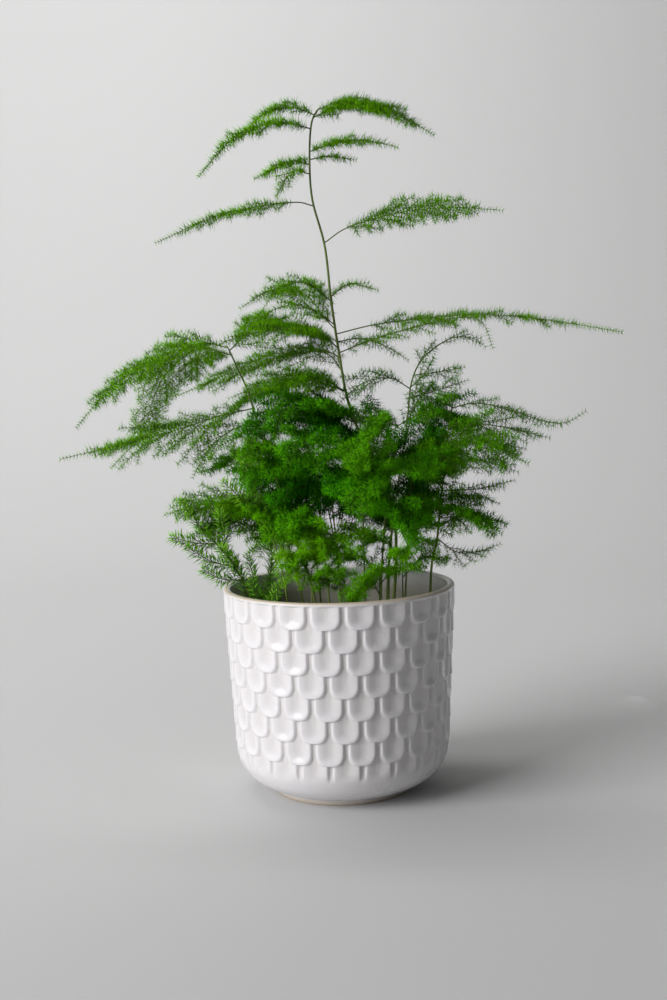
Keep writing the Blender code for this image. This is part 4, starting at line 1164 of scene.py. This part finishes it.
    def add_leaves(self, line: Line, start: float) -> None:
        """Adds the flat leaves of a coarse shoot along a line."""
        self.add_whorls(line, start, np.array(self.coarse_side), self.coarse_tone, COARSE_HABIT,
                        whorl=COARSE_WHORL)

    def add_frond(self, frond: FrondLines, habit: Habit) -> None:
        """Adds a frond: its rib, its side sprays, their twigs, and needles on all of them.

        A frond low down at the front is brighter, since the young ones are there.

        Args:
            frond: the grown frond.
            habit: how leafy it is.
        """
        _, y, z = frond.middle
        young = smooth_step(*YOUNG_BEFORE_Y, y) * smooth_step(*YOUNG_UNDER_Z, z)
        tone = self.frond_tone[0] + self.frond_tone[1] * float(young)
        tone += self.rng.uniform(-self.frond_varies, self.frond_varies)
        self.add_tube(frond.rib, RIB)
        self.add_whorls(frond.rib, frond.plan.bare, frond.side, tone, habit, self.rib_needles)
        for share, spray in frond.sprays(habit.stretch):
            self.add_tube(spray, SPRAY)
            varied = self.rng.uniform(-self.spray_varies, self.spray_varies)
            shade = tone + self.spray_lightens * share + varied
            self.add_whorls(spray, self.spray_start, frond.side, shade, habit)
            if spray.length > habit.twig_from:
                self.add_twigs(frond, spray, shade, habit)

    def add_twigs(self, frond: FrondLines, spray: Line, tone: float, habit: Habit) -> None:
        """Adds short twigs on both sides of a long side spray.

        Each runs along out * reach * t, with a droop of t^2, and is shorter towards the spray's tip.

        Args:
            frond: the grown frond.
            spray: the side spray.
            tone: how light the spray's needles are.
            habit: how leafy the frond is.
        """
        side = frond.side
        normal = unit(np.cross(unit(frond.rib.points[-1] - frond.rib.points[0]), side))
        first, margins = self.twig_margin
        ahead, across, askew = self.twig_way
        count = int((spray.length - first) / habit.twig_step)
        for k in range(count):
            s = first + (k + 0.5) * (spray.length - margins) / count
            way = spray.way(s)
            flat = unit(np.cross(normal, way)) * (1.0 if k % 2 else -1.0)
            more = self.rng.uniform(0.0, self.twig_least)
            reach = self.twig_share * (spray.length - s) + self.twig_least + more
            out = unit(ahead * way + across * flat + normal * self.rng.uniform(-askew, askew))
            t = np.linspace(0, 1, CURVE_POINTS)[:, None]
            twig = Line(spray.at(s) + out * reach * t - UP * self.twig_droop * reach * t**2)
            self.add_tube(twig, TWIG)
            shade = tone + self.rng.uniform(*self.twig_varies)
            self.add_whorls(twig, self.twig_start, side, shade, habit, self.twig_needles)

    def habit(self, frond: FrondLines) -> Habit:
        """Lacy on the right shoots, thick on the tufts, crowded in the middle and open elsewhere.

        The tall shoot is thick at its top and airy below, and so is the left arching one. The share
        of crowding comes from where the frond's own middle is.

        Args:
            frond: the grown frond.
        Returns:
            How leafy it is.
        """
        x, y, z = frond.middle
        if self.name.startswith("right"):
            return LACY_HABIT
        if self.name.startswith("low_tuft"):
            return TUFT_HABIT
        outside = OPEN_HABIT
        if self.name == "tall_shoot":
            outside = AIRY_HABIT.towards(OPEN_HABIT, smooth_step(*OPEN_OVER_Z, z))
            full = max(smooth_step(*TOP_OVER_Z, z), smooth_step(*TOP_BEYOND_X, x))
            outside = outside.towards(TOP_HABIT, full)
        if self.name == "left_arching_shoot":
            outside = AIRY_HABIT.towards(TOP_HABIT, smooth_step(*ARCH_TOP_Z, z))
        near = smooth_step(*CROWDED_WITHIN, math.hypot(x - CLUMP_CENTRE[0], y - CLUMP_CENTRE[1]))
        near *= smooth_step(*CROWDED_UNDER_Z, z) * smooth_step(*CROWDED_OVER_Z, z)
        return outside.towards(CROWDED_HABIT, near)


# Pot and soil as fine meshes.


@dataclass
class GlazedPot:
    """The pot with its relief, as one closed mesh of rings from the foot's middle to the floor's middle."""

    shape: PotShape
    relief: ScaleRelief
    columns_a_scale: int = 22
    column_shares: tuple = (0.0, 0.15, 0.35, 0.65, 0.85, 1.0)
    column_places: tuple = (0.0, 0.1, 0.4, 0.6, 0.9, 1.0)
    row_places: tuple = (-0.5, -0.2, 0.05, 0.35, 0.8, 1.5, 2.3, 3.2, 4.2, 5.4, 7.0, 9.4, 11.6)
    rim_rings: int = 4
    belly_step: float = 1.5
    belly_ease: float = 12.0
    wall_step: float = 14.0
    plain_raise: float = 0.7
    foot_bare: tuple = (0.0, 0.0, 0.5, 1.0, 1.0, 0.8, 0.2)
    lip_points: int = 11
    lip_wear: float = 0.5

    def columns(self) -> np.ndarray:
        """Places round the pot, counted in scales and closer together at the scales' sides.

        Returns:
            The place of every column of points.
        """
        share = np.arange(self.columns_a_scale) / self.columns_a_scale
        one = np.interp(share, self.column_shares, self.column_places)
        return (np.arange(self.relief.round_the_pot)[:, None] + one).ravel()

    def heights(self) -> np.ndarray:
        """The relief's ring heights, the same over every row and closer together at the scales' ends.

        Returns:
            The heights from the belly up to the rim.
        """
        low_z, top_z = self.shape.wall_foot[1], self.relief.top_z
        ends = self.relief.first_z - np.arange(-1, self.relief.rows + 1) * self.relief.pitch_z
        found = (ends[:, None] + np.array(self.row_places)).ravel()
        rim = top_z - self.relief.rim_run * np.linspace(1.0, 0.0, self.rim_rings)
        return np.unique(np.concatenate([[low_z], found[(found > low_z) & (found < rim[0])], rim]))

    def plain(self, points: list, bare: list, inside: float = 0.0) -> list:
        """Rings without relief.

        Args:
            points: their radii and heights.
            bare: how bare each is.
            inside: 1 on the inner wall.
        Returns:
            The rows for them.
        """
        return [(r, z, b, inside, self.plain_raise) for (r, z), b in zip(points, bare)]

    def rings(self) -> list:
        """Every ring's radii, with its height and its traits.

        The wall's radius is the plain taper plus the relief's height. The traits are bare, where the
        glaze has drawn back from an edge, inside, on the inner wall, and raised, the relief's height,
        from which the glaze paints shade into the scales' hollows.

        Returns:
            Rows of radii, height, bare, inside and raised, from the foot's middle to the floor's. A
            number stands for the same all round, an array for one in each column.
        """
        shape, relief, x = self.shape, self.relief, self.columns()
        low_r, low_z = shape.wall_foot
        wide_r = shape.rim_radius - relief.rim_lift
        found = self.plain([*shape.underside, *reversed(shape.foot)], self.foot_bare)
        belly = Line.through([(r, 0.0, z) for r, z in reversed(shape.belly)], self.belly_step).points
        for r, _, z in belly[:-1]:
            ease = float(smooth_step(low_z - self.belly_ease, low_z, z))
            lift = relief.height(x, z)
            found.append((r + lift * ease, z, 0.0, 0.0, mix(self.plain_raise, lift / relief.lip, ease)))
        for z in self.heights():
            lift = relief.height(x, z)
            plain_r = mix(low_r, wide_r, (z - low_z) / (relief.top_z - low_z))
            found.append((plain_r + lift, z, 0.0, 0.0, lift / relief.lip))
        (lip_r, lip_z), (wide, tall) = shape.lip_centre, shape.lip_size
        turns = np.linspace(0, math.pi, self.lip_points)
        crest = np.stack([lip_r + wide * np.cos(turns), lip_z + tall * np.sin(turns)], -1)
        found += self.plain(crest, np.clip(np.sin(turns + self.lip_wear), 0.0, 1.0) ** 2)
        wall = Line.through([(r, 0.0, z) for r, z in shape.inside], self.wall_step).points[1:, [0, 2]]
        inner = [*wall, *shape.floor]
        return found + self.plain(inner, np.zeros(len(inner)), 1.0)

    def build(self, material: bpy.types.Material) -> None:
        """Makes the piece that stands for the pot's node.

        A point is (r sin turn, -r cos turn, z), with each ring's r and z from rings.

        Args:
            material: the glaze.
        """
        x = self.columns()
        turn = 2 * math.pi * x / self.relief.round_the_pot + math.radians(self.relief.first_turn)
        rows = np.array([[np.broadcast_to(value, len(x)) for value in ring] for ring in self.rings()])
        radii, heights = rows[:, 0], rows[:, 1]
        buffer = MeshBuffer(("bare", "inside", "raised"))
        points = np.stack([radii * np.sin(turn), -radii * np.cos(turn), heights], -1)
        buffer.add_rings(points, np.moveaxis(rows[:, 2:], 1, 2).reshape(-1, 3))
        buffer.to_object("glazed_pot", material, "glaze", ("pot",))


@dataclass
class PottingSoil:
    """The soil: a crumbly surface on a body that fills the pot.

    Args:
        shape: its surface and its body.
        rings, columns: how many points its surface has each way.
        centre: the radius of its innermost ring.
        crumbs: how many crumbs lie on it.
        crumb_size: the smallest crumb's radius and how much larger the largest is.
        crumb_height: how high a crumb stands for its radius.
        crumb_sunk: how much of its radius may be sunk.
        crumb_fade: how far from the wall the crumbs die out.
        damp_depth: how far down it gets fully damp.
    """

    shape: SoilShape
    rings: int = 62
    columns: int = 170
    centre: float = 0.12
    crumbs: int = 1500
    crumb_size: tuple = (0.7, 2.1)
    crumb_height: float = 0.8
    crumb_sunk: float = 0.35
    crumb_fade: float = 2.0
    damp_depth: float = 9.0

    def surface(self, x: np.ndarray, y: np.ndarray) -> np.ndarray:
        """The smooth height with crumbs on it, each a low cap: height * sqrt(r^2 - d^2) - sunk part.

        Args:
            x, y: places on the soil.
        Returns:
            The height at each place.
        """
        rng = np.random.default_rng(SEED)
        rough = np.zeros_like(x)
        for _ in range(self.crumbs):
            away, turn, size, sunk = rng.uniform(size=4)
            cx = self.shape.radius * math.sqrt(away) * math.cos(2 * math.pi * turn)
            cy = self.shape.radius * math.sqrt(away) * math.sin(2 * math.pi * turn)
            r = self.crumb_size[0] + self.crumb_size[1] * size**3
            near = (np.abs(x - cx) < r) & (np.abs(y - cy) < r)
            d2 = (x[near] - cx) ** 2 + (y[near] - cy) ** 2
            cap = self.crumb_height * np.sqrt(np.maximum(r * r - d2, 0.0)) - self.crumb_sunk * r * sunk
            rough[near] = np.maximum(rough[near], cap)
        edge = smooth_step(self.shape.radius, self.shape.radius - self.crumb_fade, np.hypot(x, y))
        return self.shape.height(x, y) + rough * edge

    def build(self, material: bpy.types.Material) -> None:
        """Makes the piece that stands for the soil's node.

        Args:
            material: the soil's material.
        """
        turn = 2 * math.pi * np.arange(self.columns) / self.columns
        away = np.linspace(self.shape.radius, self.centre, self.rings)[:, None]
        x, y = away * np.cos(turn), away * np.sin(turn)
        top = np.stack([x, y, self.surface(x, y)], -1)
        side = [np.stack([r * np.cos(turn), r * np.sin(turn), np.full(turn.shape, z)], -1)
                for r, z in self.shape.side[::-1]]
        points = np.concatenate([side, top])
        damp = np.clip(1.0 - (points[..., 2] - self.shape.level) / self.damp_depth, 0.0, 1.0)
        buffer = MeshBuffer(("damp",))
        buffer.add_rings(points, damp.reshape(-1, 1))
        buffer.to_object("potting_soil", material, "soil", ("soil",))


# Materials.


@dataclass(frozen=True)
class LeafFinish:
    """Colours of a kind of shoot, from the darkest needles to the lightest, and of its stems.

    Each pair of tones is where one colour ends and the next begins. The mottle is its patches in a
    metre and how much they differ. The grain is the roughness's features in a metre and how far
    these take it down and up.
    """

    dark: tuple
    middle: tuple
    light: tuple
    sunny_dark: tuple
    sunny_light: tuple
    stem_dark: tuple
    stem_light: tuple
    roughness: float
    specular: float = 0.04
    low_tones: tuple = (0.0, 0.5)
    high_tones: tuple = (0.45, 1.0)
    sunny_tones: tuple = (0.1, 0.95)
    stem_tones: tuple = (0.1, 1.0)
    mottle: tuple = (90.0, 0.7)
    grain: tuple = (900.0, 0.08, 0.12)


@dataclass(frozen=True)
class GlazeFinish:
    """Colours and gloss of the pot; edge_clay and edge_dull say how much a bare edge has of each."""

    glaze: tuple = (0.80, 0.785, 0.795)
    pooled: tuple = (0.765, 0.745, 0.75)
    # The next colour is painted shade: the glaze takes it where the relief lies low, in the scales' hollows.
    hollow_shade_and_damp: tuple = (0.71, 0.685, 0.68)
    clay: tuple = (0.60, 0.47, 0.32)
    inner: tuple = (0.40, 0.385, 0.31)
    edge_clay: float = 0.85
    edge_dull: float = 0.7
    roughness: float = 0.23
    inner_roughness: float = 0.5
    smear: float = 0.07
    pores: float = 0.12
    bump: tuple = (0.35, 0.0006)
    specular: float = 0.42
    coat: float = 0.11
    coat_roughness: float = 0.19


@dataclass(frozen=True)
class SoilFinish:
    """Colours of the soil, damp and dry, and how rough it is."""

    damp: tuple = (0.012, 0.008, 0.005)
    dry: tuple = (0.075, 0.048, 0.03)
    fleck: tuple = (0.17, 0.12, 0.08)
    damp_dark: float = 0.25
    roughness: float = 0.95
    bump: tuple = (0.8, 0.0012)


FINE_LEAF = LeafFinish(
    dark=(0.0006, 0.018, 0.0003),
    middle=(0.006, 0.132, 0.001),
    light=(0.080, 0.43, 0.002),
    sunny_dark=(0.030, 0.150, 0.001),
    sunny_light=(0.23, 0.58, 0.003),
    stem_dark=(0.02, 0.045, 0.004),
    stem_light=(0.34, 0.45, 0.13),
    roughness=0.7,
)
COARSE_LEAF = LeafFinish(
    dark=(0.004, 0.060, 0.001),
    middle=(0.030, 0.22, 0.003),
    light=(0.16, 0.50, 0.02),
    sunny_dark=(0.03, 0.17, 0.003),
    sunny_light=(0.30, 0.66, 0.05),
    stem_dark=(0.06, 0.13, 0.02),
    stem_light=(0.30, 0.42, 0.10),
    roughness=0.5,
)


@dataclass
class Shader:
    """A short way to write a node tree: nodes are made by type and fed by input.

    Args:
        tree: the node tree that it adds to.
    """

    tree: bpy.types.NodeTree

    def node(self, kind: str, inputs: dict | None = None, **settings: object) -> bpy.types.Node:
        """Adds a node.

        Args:
            kind: its type.
            inputs: what feeds its inputs, by their names or numbers.
            **settings: its properties.
        Returns:
            The node.
        """
        made = self.tree.nodes.new(kind)
        for key, value in settings.items():
            setattr(made, key, value)
        self.feed(made, inputs or {})
        return made

    def feed(self, node: bpy.types.Node, inputs: dict) -> None:
        """Links an output to each input, or sets the input if its source is a number or a colour.

        Args:
            node: the node.
            inputs: the sources, by the inputs' names or numbers.
        """
        for key, source in inputs.items():
            if isinstance(source, bpy.types.NodeSocket):
                self.tree.links.new(source, node.inputs[key])
            else:
                node.inputs[key].default_value = (*source, 1.0) if isinstance(source, tuple) else source

    def blend(self, share: Feed, first: Feed, second: Feed) -> bpy.types.NodeSocket:
        """The colour a share of the way from first to second."""
        return self.node("ShaderNodeMix", {0: share, 6: first, 7: second}, data_type="RGBA").outputs[2]

    def maths(self, operation: str, a: Feed, b: Feed) -> bpy.types.NodeSocket:
        """The result of one arithmetic step on two numbers."""
        return self.node("ShaderNodeMath", {0: a, 1: b}, operation=operation).outputs[0]

    def spread(self, value: Feed, low: float, high: float, to_low: float = 0.0,
               to_high: float = 1.0) -> bpy.types.NodeSocket:
        """The value moved from one range to another and held inside it.

        Args:
            value: the number.
            low, high: the range that it comes from.
            to_low, to_high: the range that it goes to.
        Returns:
            The moved number.
        """
        ends = {"From Min": low, "From Max": high, "To Min": to_low, "To Max": to_high}
        return self.node("ShaderNodeMapRange", {"Value": value, **ends}).outputs["Result"]

    def noise(self, scale: Feed, detail: float = 3.0) -> bpy.types.NodeSocket:
        """Noise from 0 to 1 over the object's own coordinates.

        Args:
            scale: features in a metre.
            detail: how many finer layers it has.
        Returns:
            The noise.
        """
        place = self.node("ShaderNodeTexCoord").outputs["Object"]
        inputs = {"Vector": place, "Scale": scale, "Detail": detail}
        return self.node("ShaderNodeTexNoise", inputs).outputs["Fac"]

    def trait(self, name: str) -> bpy.types.NodeSocket:
        """A number kept on the vertices."""
        return self.node("ShaderNodeAttribute", attribute_name=name).outputs["Fac"]

    def bump(self, height: Feed, strength: float, distance: float) -> bpy.types.NodeSocket:
        """A normal from a height.

        Args:
            height: the height from 0 to 1.
            strength: how much of it shows.
            distance: how high 1 stands, in metres.
        Returns:
            The normal.
        """
        inputs = {"Height": height, "Strength": strength, "Distance": distance}
        return self.node("ShaderNodeBump", inputs).outputs["Normal"]


class Materials:
    """Makes the object's materials and the node group that they share."""

    def mottle_group(self) -> bpy.types.NodeTree:
        """A shared group: a colour made lighter and darker in soft patches.

        It puts out colour * (1 + amount * (noise - 0.5)).

        Returns:
            The group, built once.
        """
        if "natural_mottle" in bpy.data.node_groups:
            return bpy.data.node_groups["natural_mottle"]
        group = bpy.data.node_groups.new("natural_mottle", "ShaderNodeTree")
        for name, way, kind in (("Colour", "INPUT", "Color"), ("Scale", "INPUT", "Float"),
                                ("Amount", "INPUT", "Float"), ("Colour", "OUTPUT", "Color")):
            group.interface.new_socket(name, in_out=way, socket_type=f"NodeSocket{kind}")
        shader = Shader(group)
        given = shader.node("NodeGroupInput").outputs
        centred = shader.maths("SUBTRACT", shader.noise(given["Scale"], 2.0), 0.5)
        factor = shader.maths("ADD", shader.maths("MULTIPLY", centred, given["Amount"]), 1.0)
        tint = shader.node("ShaderNodeVectorMath", {0: given["Colour"], "Scale": factor}, operation="SCALE")
        shader.node("NodeGroupOutput", {"Colour": tint.outputs[0]})
        return group

    def start(self, name: str) -> tuple:
        """A new material.

        Args:
            name: its name.
        Returns:
            The material, its shader helper and its surface node.
        """
        material = bpy.data.materials.new(name)
        material.use_nodes = True
        return material, Shader(material.node_tree), material.node_tree.nodes["Principled BSDF"]

    def mottled(self, shader: Shader, colour: Feed, scale: float, amount: float) -> bpy.types.NodeSocket:
        """The colour through the shared mottle group.

        Args:
            shader: the material's helper.
            colour: the even colour.
            scale: patches in a metre.
            amount: how much they differ.
        Returns:
            The mottled colour.
        """
        inputs = {"Colour": colour, "Scale": scale, "Amount": amount}
        return shader.node("ShaderNodeGroup", inputs, node_tree=self.mottle_group()).outputs["Colour"]

    def foliage(self, name: str, finish: LeafFinish) -> bpy.types.Material:
        """Needles from dark to light by their tone, and stems from dark to pale by theirs.

        Args:
            name: the material's name.
            finish: its colours.
        Returns:
            The material.
        """
        material, shader, surface = self.start(name)
        tone = shader.trait("tone")
        low = shader.blend(shader.spread(tone, *finish.low_tones), finish.dark, finish.middle)
        deep = shader.blend(shader.spread(tone, *finish.high_tones), low, finish.light)
        sunny = shader.blend(shader.spread(tone, *finish.sunny_tones), finish.sunny_dark, finish.sunny_light)
        leaf = shader.blend(shader.trait("sun"), deep, sunny)
        stem = shader.blend(shader.spread(tone, *finish.stem_tones), finish.stem_dark, finish.stem_light)
        colour = shader.blend(shader.trait("wood"), leaf, stem)
        scale, down, up = finish.grain
        shader.feed(surface, {
            "Base Color": self.mottled(shader, colour, *finish.mottle),
            "Roughness": shader.spread(shader.noise(scale), 0.3, 0.7, finish.roughness - down,
                                       finish.roughness + up),
            "Specular IOR Level": finish.specular,
        })
        return material

    def glaze(self, finish: GlazeFinish) -> bpy.types.Material:
        """Off-white glaze, drawn back to clay on bare edges, and a duller inner wall.

        Args:
            finish: its colours and gloss.
        Returns:
            The material.
        """
        material, shader, surface = self.start("glaze")
        bare, inside = shader.trait("bare"), shader.trait("inside")
        pooling = shader.spread(shader.noise(14.0, 2.0), 0.35, 0.75, 0.0, 0.5)
        even = shader.blend(pooling, finish.glaze, finish.pooled)
        # Painted shade: the glaze darkens towards the hollow colour where the relief lies low, in the
        # scales' hollows.
        outer = shader.blend(shader.spread(shader.trait("raised"), -0.35, 0.7), finish.hollow_shade_and_damp, even)
        edged = shader.blend(shader.maths("MULTIPLY", bare, finish.edge_clay), outer, finish.clay)
        worn = shader.maths("MAXIMUM", inside, shader.maths("MULTIPLY", bare, finish.edge_dull))
        base = shader.spread(worn, 0.0, 1.0, finish.roughness, finish.inner_roughness)
        smear = shader.spread(shader.noise(35.0), 0.35, 0.7, 0.0, finish.smear)
        pores = shader.maths("MULTIPLY", shader.noise(900.0, 2.0), finish.pores)
        ripple = shader.maths("ADD", shader.noise(120.0, 2.0), pores)
        shader.feed(surface, {
            "Base Color": shader.blend(inside, edged, finish.inner),
            "Roughness": shader.maths("ADD", base, smear),
            "Normal": shader.bump(ripple, *finish.bump),
            "Specular IOR Level": finish.specular,
            "Coat Weight": finish.coat,
            "Coat Roughness": finish.coat_roughness,
        })
        return material

    def soil(self, finish: SoilFinish) -> bpy.types.Material:
        """Dark crumbly soil: damp in the hollows, dry on the lumps, with a few pale flecks.

        Args:
            finish: its colours.
        Returns:
            The material.
        """
        material, shader, surface = self.start("soil")
        hollow_shade_and_damp = shader.maths("MULTIPLY", shader.trait("damp"), finish.damp_dark)
        dryness = shader.maths("SUBTRACT", shader.noise(160.0, 6.0), hollow_shade_and_damp)
        body = shader.blend(shader.spread(dryness, 0.12, 0.6), finish.damp, finish.dry)
        flecks = shader.spread(shader.noise(620.0, 2.0), 0.66, 0.74)
        shader.feed(surface, {
            "Base Color": shader.blend(flecks, body, finish.fleck),
            "Roughness": finish.roughness,
            "Normal": shader.bump(shader.noise(1500.0, 5.0), *finish.bump),
        })
        return material


# Studio.


@dataclass(frozen=True)
class SoftLight:
    """An area light: where it stands and aims in metres, its width and height, its power and colour."""

    name: str
    place: tuple
    target: tuple
    size: tuple
    power: float
    colour: tuple = (1.0, 1.0, 1.0)
    glossy_only: bool = False

    def build(self) -> None:
        """Makes the light, upright and turned from its place to its target."""
        data = bpy.data.lights.new(self.name, "AREA")
        data.shape = "RECTANGLE"
        data.size, data.size_y = self.size
        data.energy = self.power
        data.color = self.colour
        obj = bpy.data.objects.new(self.name, data)
        back = unit(np.array(self.place) - np.array(self.target))
        right = unit(np.cross(UP, back))
        turn = Matrix([right, np.cross(back, right), back]).transposed().to_4x4()
        obj.matrix_world = Matrix.Translation(self.place) @ turn
        obj.visible_diffuse = not self.glossy_only
        bpy.context.scene.collection.objects.link(obj)


@dataclass
class Studio:
    """The camera, the plain floor and the soft lights.

    Args:
        eye: the camera's place in millimetres.
        pitch_down, roll: its tilt in degrees.
        lens, sensor: its measures in millimetres.
        clip_start: how near it sees, in metres.
        floor_front: where the floor starts and its crease lies, towards the camera, in metres.
        floor_back: where it begins to turn up.
        bend: the radius of that turn.
        wall_top: how high the wall behind goes.
        half_width: half the floor's width.
        bend_points: how many points the turn has.
        sky, seen_sky: how bright the sky is as a light and to the camera.
    """

    eye: tuple = (-1.9, -894.0, 280.0)
    pitch_down: float = 5.84
    roll: float = -1.6
    lens: float = 50.0
    sensor: float = 36.0
    clip_start: float = 0.02
    floor_front: tuple = (-2.4, -1.0)
    floor_back: float = 0.8
    bend: float = 1.6
    wall_top: float = 4.0
    half_width: float = 3.2
    bend_points: int = 25
    wall_colour: tuple = (0.60, 0.60, 0.595)
    wall_roughness: float = 0.9
    lights: tuple = (
        SoftLight("window_light", (-1.8, -1.15, 1.05), (0.0, 0.0, 0.2), (1.4, 1.7), 60.0,
                  (0.99, 0.985, 1.0)),
        SoftLight("gloss_strip", (0.24, 0.21, 0.08), (0.07, -0.02, 0.08), (0.012, 0.24), 0.02,
                  glossy_only=True),
        SoftLight("top_light", (-0.3, 0.1, 1.5), (0.0, 0.0, 0.2), (0.9, 0.9), 4.0),
        SoftLight("wall_light", (-0.6, 0.7, 2.3), (-0.2, 2.4, 1.5), (1.6, 1.6), 40.0),
    )
    sky: float = 0.06
    seen_sky: float = 0.55
    sky_colour: tuple = (0.97, 0.98, 1.0)

    def camera(self) -> None:
        """The camera at the photograph's place: pitched down a little and rolled by a degree or two."""
        data = bpy.data.cameras.new("camera")
        data.lens = self.lens
        data.sensor_width = self.sensor
        data.sensor_fit = "AUTO"
        data.clip_start = self.clip_start
        obj = bpy.data.objects.new("camera", data)
        place = Matrix.Translation([v * MM for v in self.eye])
        tilt = Matrix.Rotation(math.radians(90.0 - self.pitch_down), 4, "X")
        obj.matrix_world = place @ tilt @ Matrix.Rotation(math.radians(self.roll), 4, "Z")
        bpy.context.scene.collection.objects.link(obj)
        bpy.context.scene.camera = obj

    def floor(self) -> None:
        """One pale sheet: a floor that turns up into a wall along a quarter circle."""
        back, bend = self.floor_back, self.bend
        turns = np.linspace(0, math.pi / 2, self.bend_points)
        run = [(y, 0.0) for y in (*self.floor_front, back)]
        run += [(back + bend * math.sin(t), bend * (1 - math.cos(t))) for t in turns[1:]]
        run += [(back + bend, self.wall_top)]
        points = [(x, y, z) for y, z in run for x in (-self.half_width, self.half_width)]
        faces = [(2 * k, 2 * k + 1, 2 * k + 3, 2 * k + 2) for k in range(len(run) - 1)]
        mesh = bpy.data.meshes.new("studio_floor")
        mesh.from_pydata(points, [], faces)
        mesh.polygons.foreach_set("use_smooth", [True] * len(faces))
        material, shader, surface = Materials().start("studio_paper")
        shader.feed(surface, {"Base Color": self.wall_colour, "Roughness": self.wall_roughness})
        mesh.materials.append(material)
        obj = bpy.data.objects.new("studio_floor", mesh)
        bpy.context.scene.collection.objects.link(obj)

    def light(self) -> None:
        """Soft area lights and an even sky."""
        for lamp in self.lights:
            lamp.build()
        world = bpy.data.worlds.new("studio")
        world.use_nodes = True
        shader = Shader(world.node_tree)
        seen = shader.node("ShaderNodeLightPath").outputs["Is Camera Ray"]
        strength = shader.spread(seen, 0.0, 1.0, self.sky, self.seen_sky)
        shader.feed(world.node_tree.nodes["Background"], {"Color": self.sky_colour, "Strength": strength})
        bpy.context.scene.world = world
        bpy.context.scene.view_settings.view_transform = "Standard"


def main() -> None:
    """Builds the pieces, the materials and the studio."""
    logging.basicConfig(level=logging.INFO)
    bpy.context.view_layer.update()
    studio = Studio()
    studio.camera()
    studio.floor()
    studio.light()
    pot, soil = PotShape(), SoilShape()
    planting = Planting({**NAMED_SHOOTS, **clump_shoots(), **tuft_shoots()}, soil, pot)
    planting.grow()
    made = Materials()
    GlazedPot(pot, ScaleRelief()).build(made.glaze(GlazeFinish()))
    PottingSoil(soil).build(made.soil(SoilFinish()))
    leaves = {Tissue.FINE: made.foliage("fine_foliage", FINE_LEAF),
              Tissue.COARSE: made.foliage("coarse_foliage", COARSE_LEAF)}
    for name in planting.shoots:
        LeafyShoot(name, planting).build(leaves)


if __name__ == "__main__":
    main()
